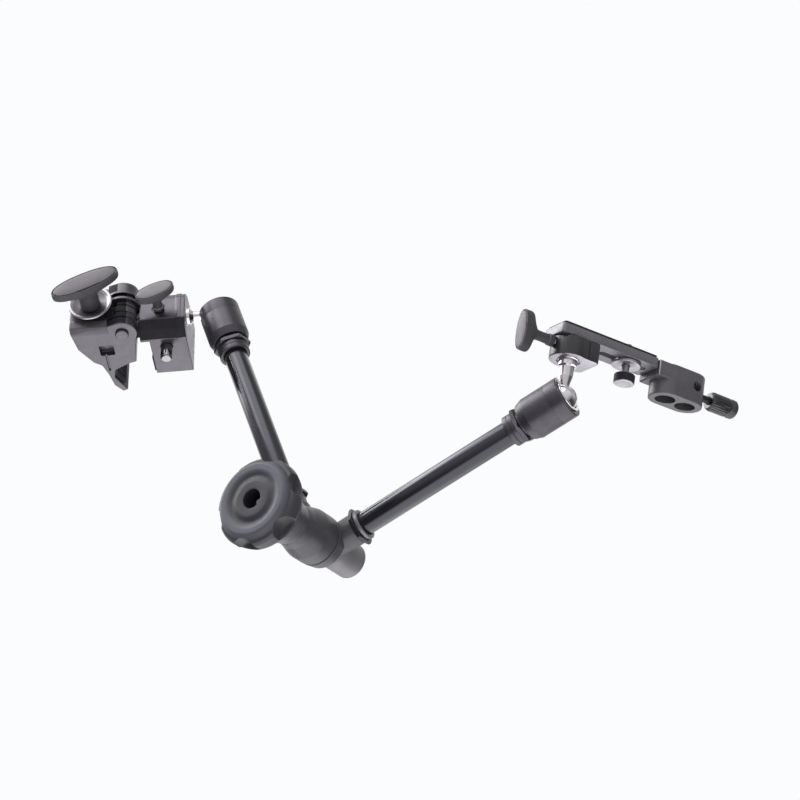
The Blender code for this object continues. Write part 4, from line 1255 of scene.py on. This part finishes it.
for vtx in grip_knob.data.vertices:
    z = vtx.co.z / MM
    r = sqrt(vtx.co.x ** 2 + vtx.co.y ** 2) / MM
    if 134.0 < z < 149.2 and r > 7.2:
        a = atan2(vtx.co.y, vtx.co.x)
        k = 1 + 0.15 / r * (1 if cos(24 * a) > 0 else -1.2)
        vtx.co.x *= k
        vtx.co.y *= k

# ------------------------------------------------------------------ assembly
# each mesh goes to the frame's own coordinates and keeps the place of every
# vertex about its own axis for the materials
for ob, body_name, cad in PIECES:
    mesh = ob.data
    loc = mesh.attributes.new("loc", "FLOAT_VECTOR", "POINT")
    flat = [0.0] * (3 * len(mesh.vertices))
    mesh.vertices.foreach_get("co", flat)
    loc.data.foreach_set("vector", flat)
    mesh.transform(ob.matrix_world)
    ob.matrix_world = Matrix.Identity(4)
    mesh.update()
    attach(ob, body_name)
    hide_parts(*cad)

# ------------------------------------------------------- floor, light, camera
world = bpy.data.worlds.new("studio")
bpy.context.scene.world = world
world.use_nodes = True
wn = world.node_tree
bg = wn.nodes["Background"]
sky = wn.nodes.new("ShaderNodeTexCoord").outputs["Generated"]


def glow(way, edge, full, strength):
    """A soft patch of light around a direction, from edge to full cosine."""
    dot = wn.nodes.new("ShaderNodeVectorMath")
    dot.operation = "DOT_PRODUCT"
    dot.inputs[1].default_value = Vector(way).normalized()
    wn.links.new(sky, dot.inputs[0])
    return remap(wn, dot.outputs["Value"], edge, full, 0.0, strength)


room = glow((0, 0, 1), -0.55, 0.5, 0.20)
room = calc(wn, "ADD", room, glow((0.1, -0.98, -0.05), 0.30, 0.90, 0.55))
room = calc(wn, "ADD", room, glow((-0.80, -0.48, 0.36), 0.62, 0.96, 0.22))
room = calc(wn, "ADD", room, glow((0.85, -0.15, 0.50), 0.70, 0.96, 0.22))
room = calc(wn, "ADD", room, 0.045)
for patch in (glow((0.0, 0.76, 0.65), 0.40, 0.84, 0.985),
              glow((-0.05, 0.80, -0.60), 0.76, 0.95, 2.0),
              glow((0.10, 0.15, -0.98), 0.64, 0.90, 1.8),
              calc(wn, "MULTIPLY", glow((-0.78, -0.02, 0.62), 0.86, 0.96, 5.6),
                   glow((0, 0, 1), 0.36, 0.50, 1.0)),
              glow((-0.18, -0.69, 0.70), 0.79, 0.955, 2.4)):
    room = calc(wn, "MAXIMUM", room, patch)
bg.inputs["Color"].default_value = (0.985, 0.99, 1.0, 1)
wn.links.new(room, bg.inputs["Strength"])
bpy.context.scene.view_settings.view_transform = "Standard"

floor = bpy.data.meshes.new("floor")
bm = bmesh.new()
bmesh.ops.create_grid(bm, x_segments=4, y_segments=4, size=8.0)
bm.to_mesh(floor)
bm.free()
floor_ob = bpy.data.objects.new("floor", floor)
bpy.context.scene.collection.objects.link(floor_ob)
floor_ob.location = (0, 0, -1.6)
fm, fnt, fb = tree("pale_floor")
ftc = fnt.nodes.new("ShaderNodeTexCoord")
fcol = mix(fnt, noise(fnt, ftc.outputs["Object"], 3.0, 4.0), (0.78, 0.78, 0.8),
           (0.84, 0.84, 0.86))
fnt.links.new(fcol, fb.inputs["Base Color"])
fb.inputs["Roughness"].default_value = 0.8
floor.materials.append(fm)
# it is seen, but neither lights the pieces nor shows in them
floor_ob.visible_glossy = floor_ob.visible_diffuse = False
floor_ob.visible_shadow = False


def area(name, at, target, size, power, size_y=None):
    light = bpy.data.lights.new(name, "AREA")
    light.energy = power
    light.size = size
    if size_y:
        light.shape = "RECTANGLE"
        light.size_y = size_y
    ob = bpy.data.objects.new(name, light)
    bpy.context.scene.collection.objects.link(ob)
    ob.location = at
    ob.rotation_euler = (Vector(target) - Vector(at)).to_track_quat(
        "-Z", "Y").to_euler()
    return ob


area("window", (-1.0, -1.5, 1.3), (0.15, 0, -0.05), 0.9, 5, 1.2)

cam = bpy.data.cameras.new("view")
cam.lens = 112.5
cam.sensor_width = 36.0
cam.clip_end = 50
cam_ob = bpy.data.objects.new("view", cam)
bpy.context.scene.collection.objects.link(cam_ob)
back = Vector((0.049026, -0.75993691, -0.64814532))
m = Matrix((RIGHT, UP, back)).transposed().to_4x4()
m.translation = CAM_AT
cam_ob.matrix_world = m
bpy.context.scene.camera = cam_ob
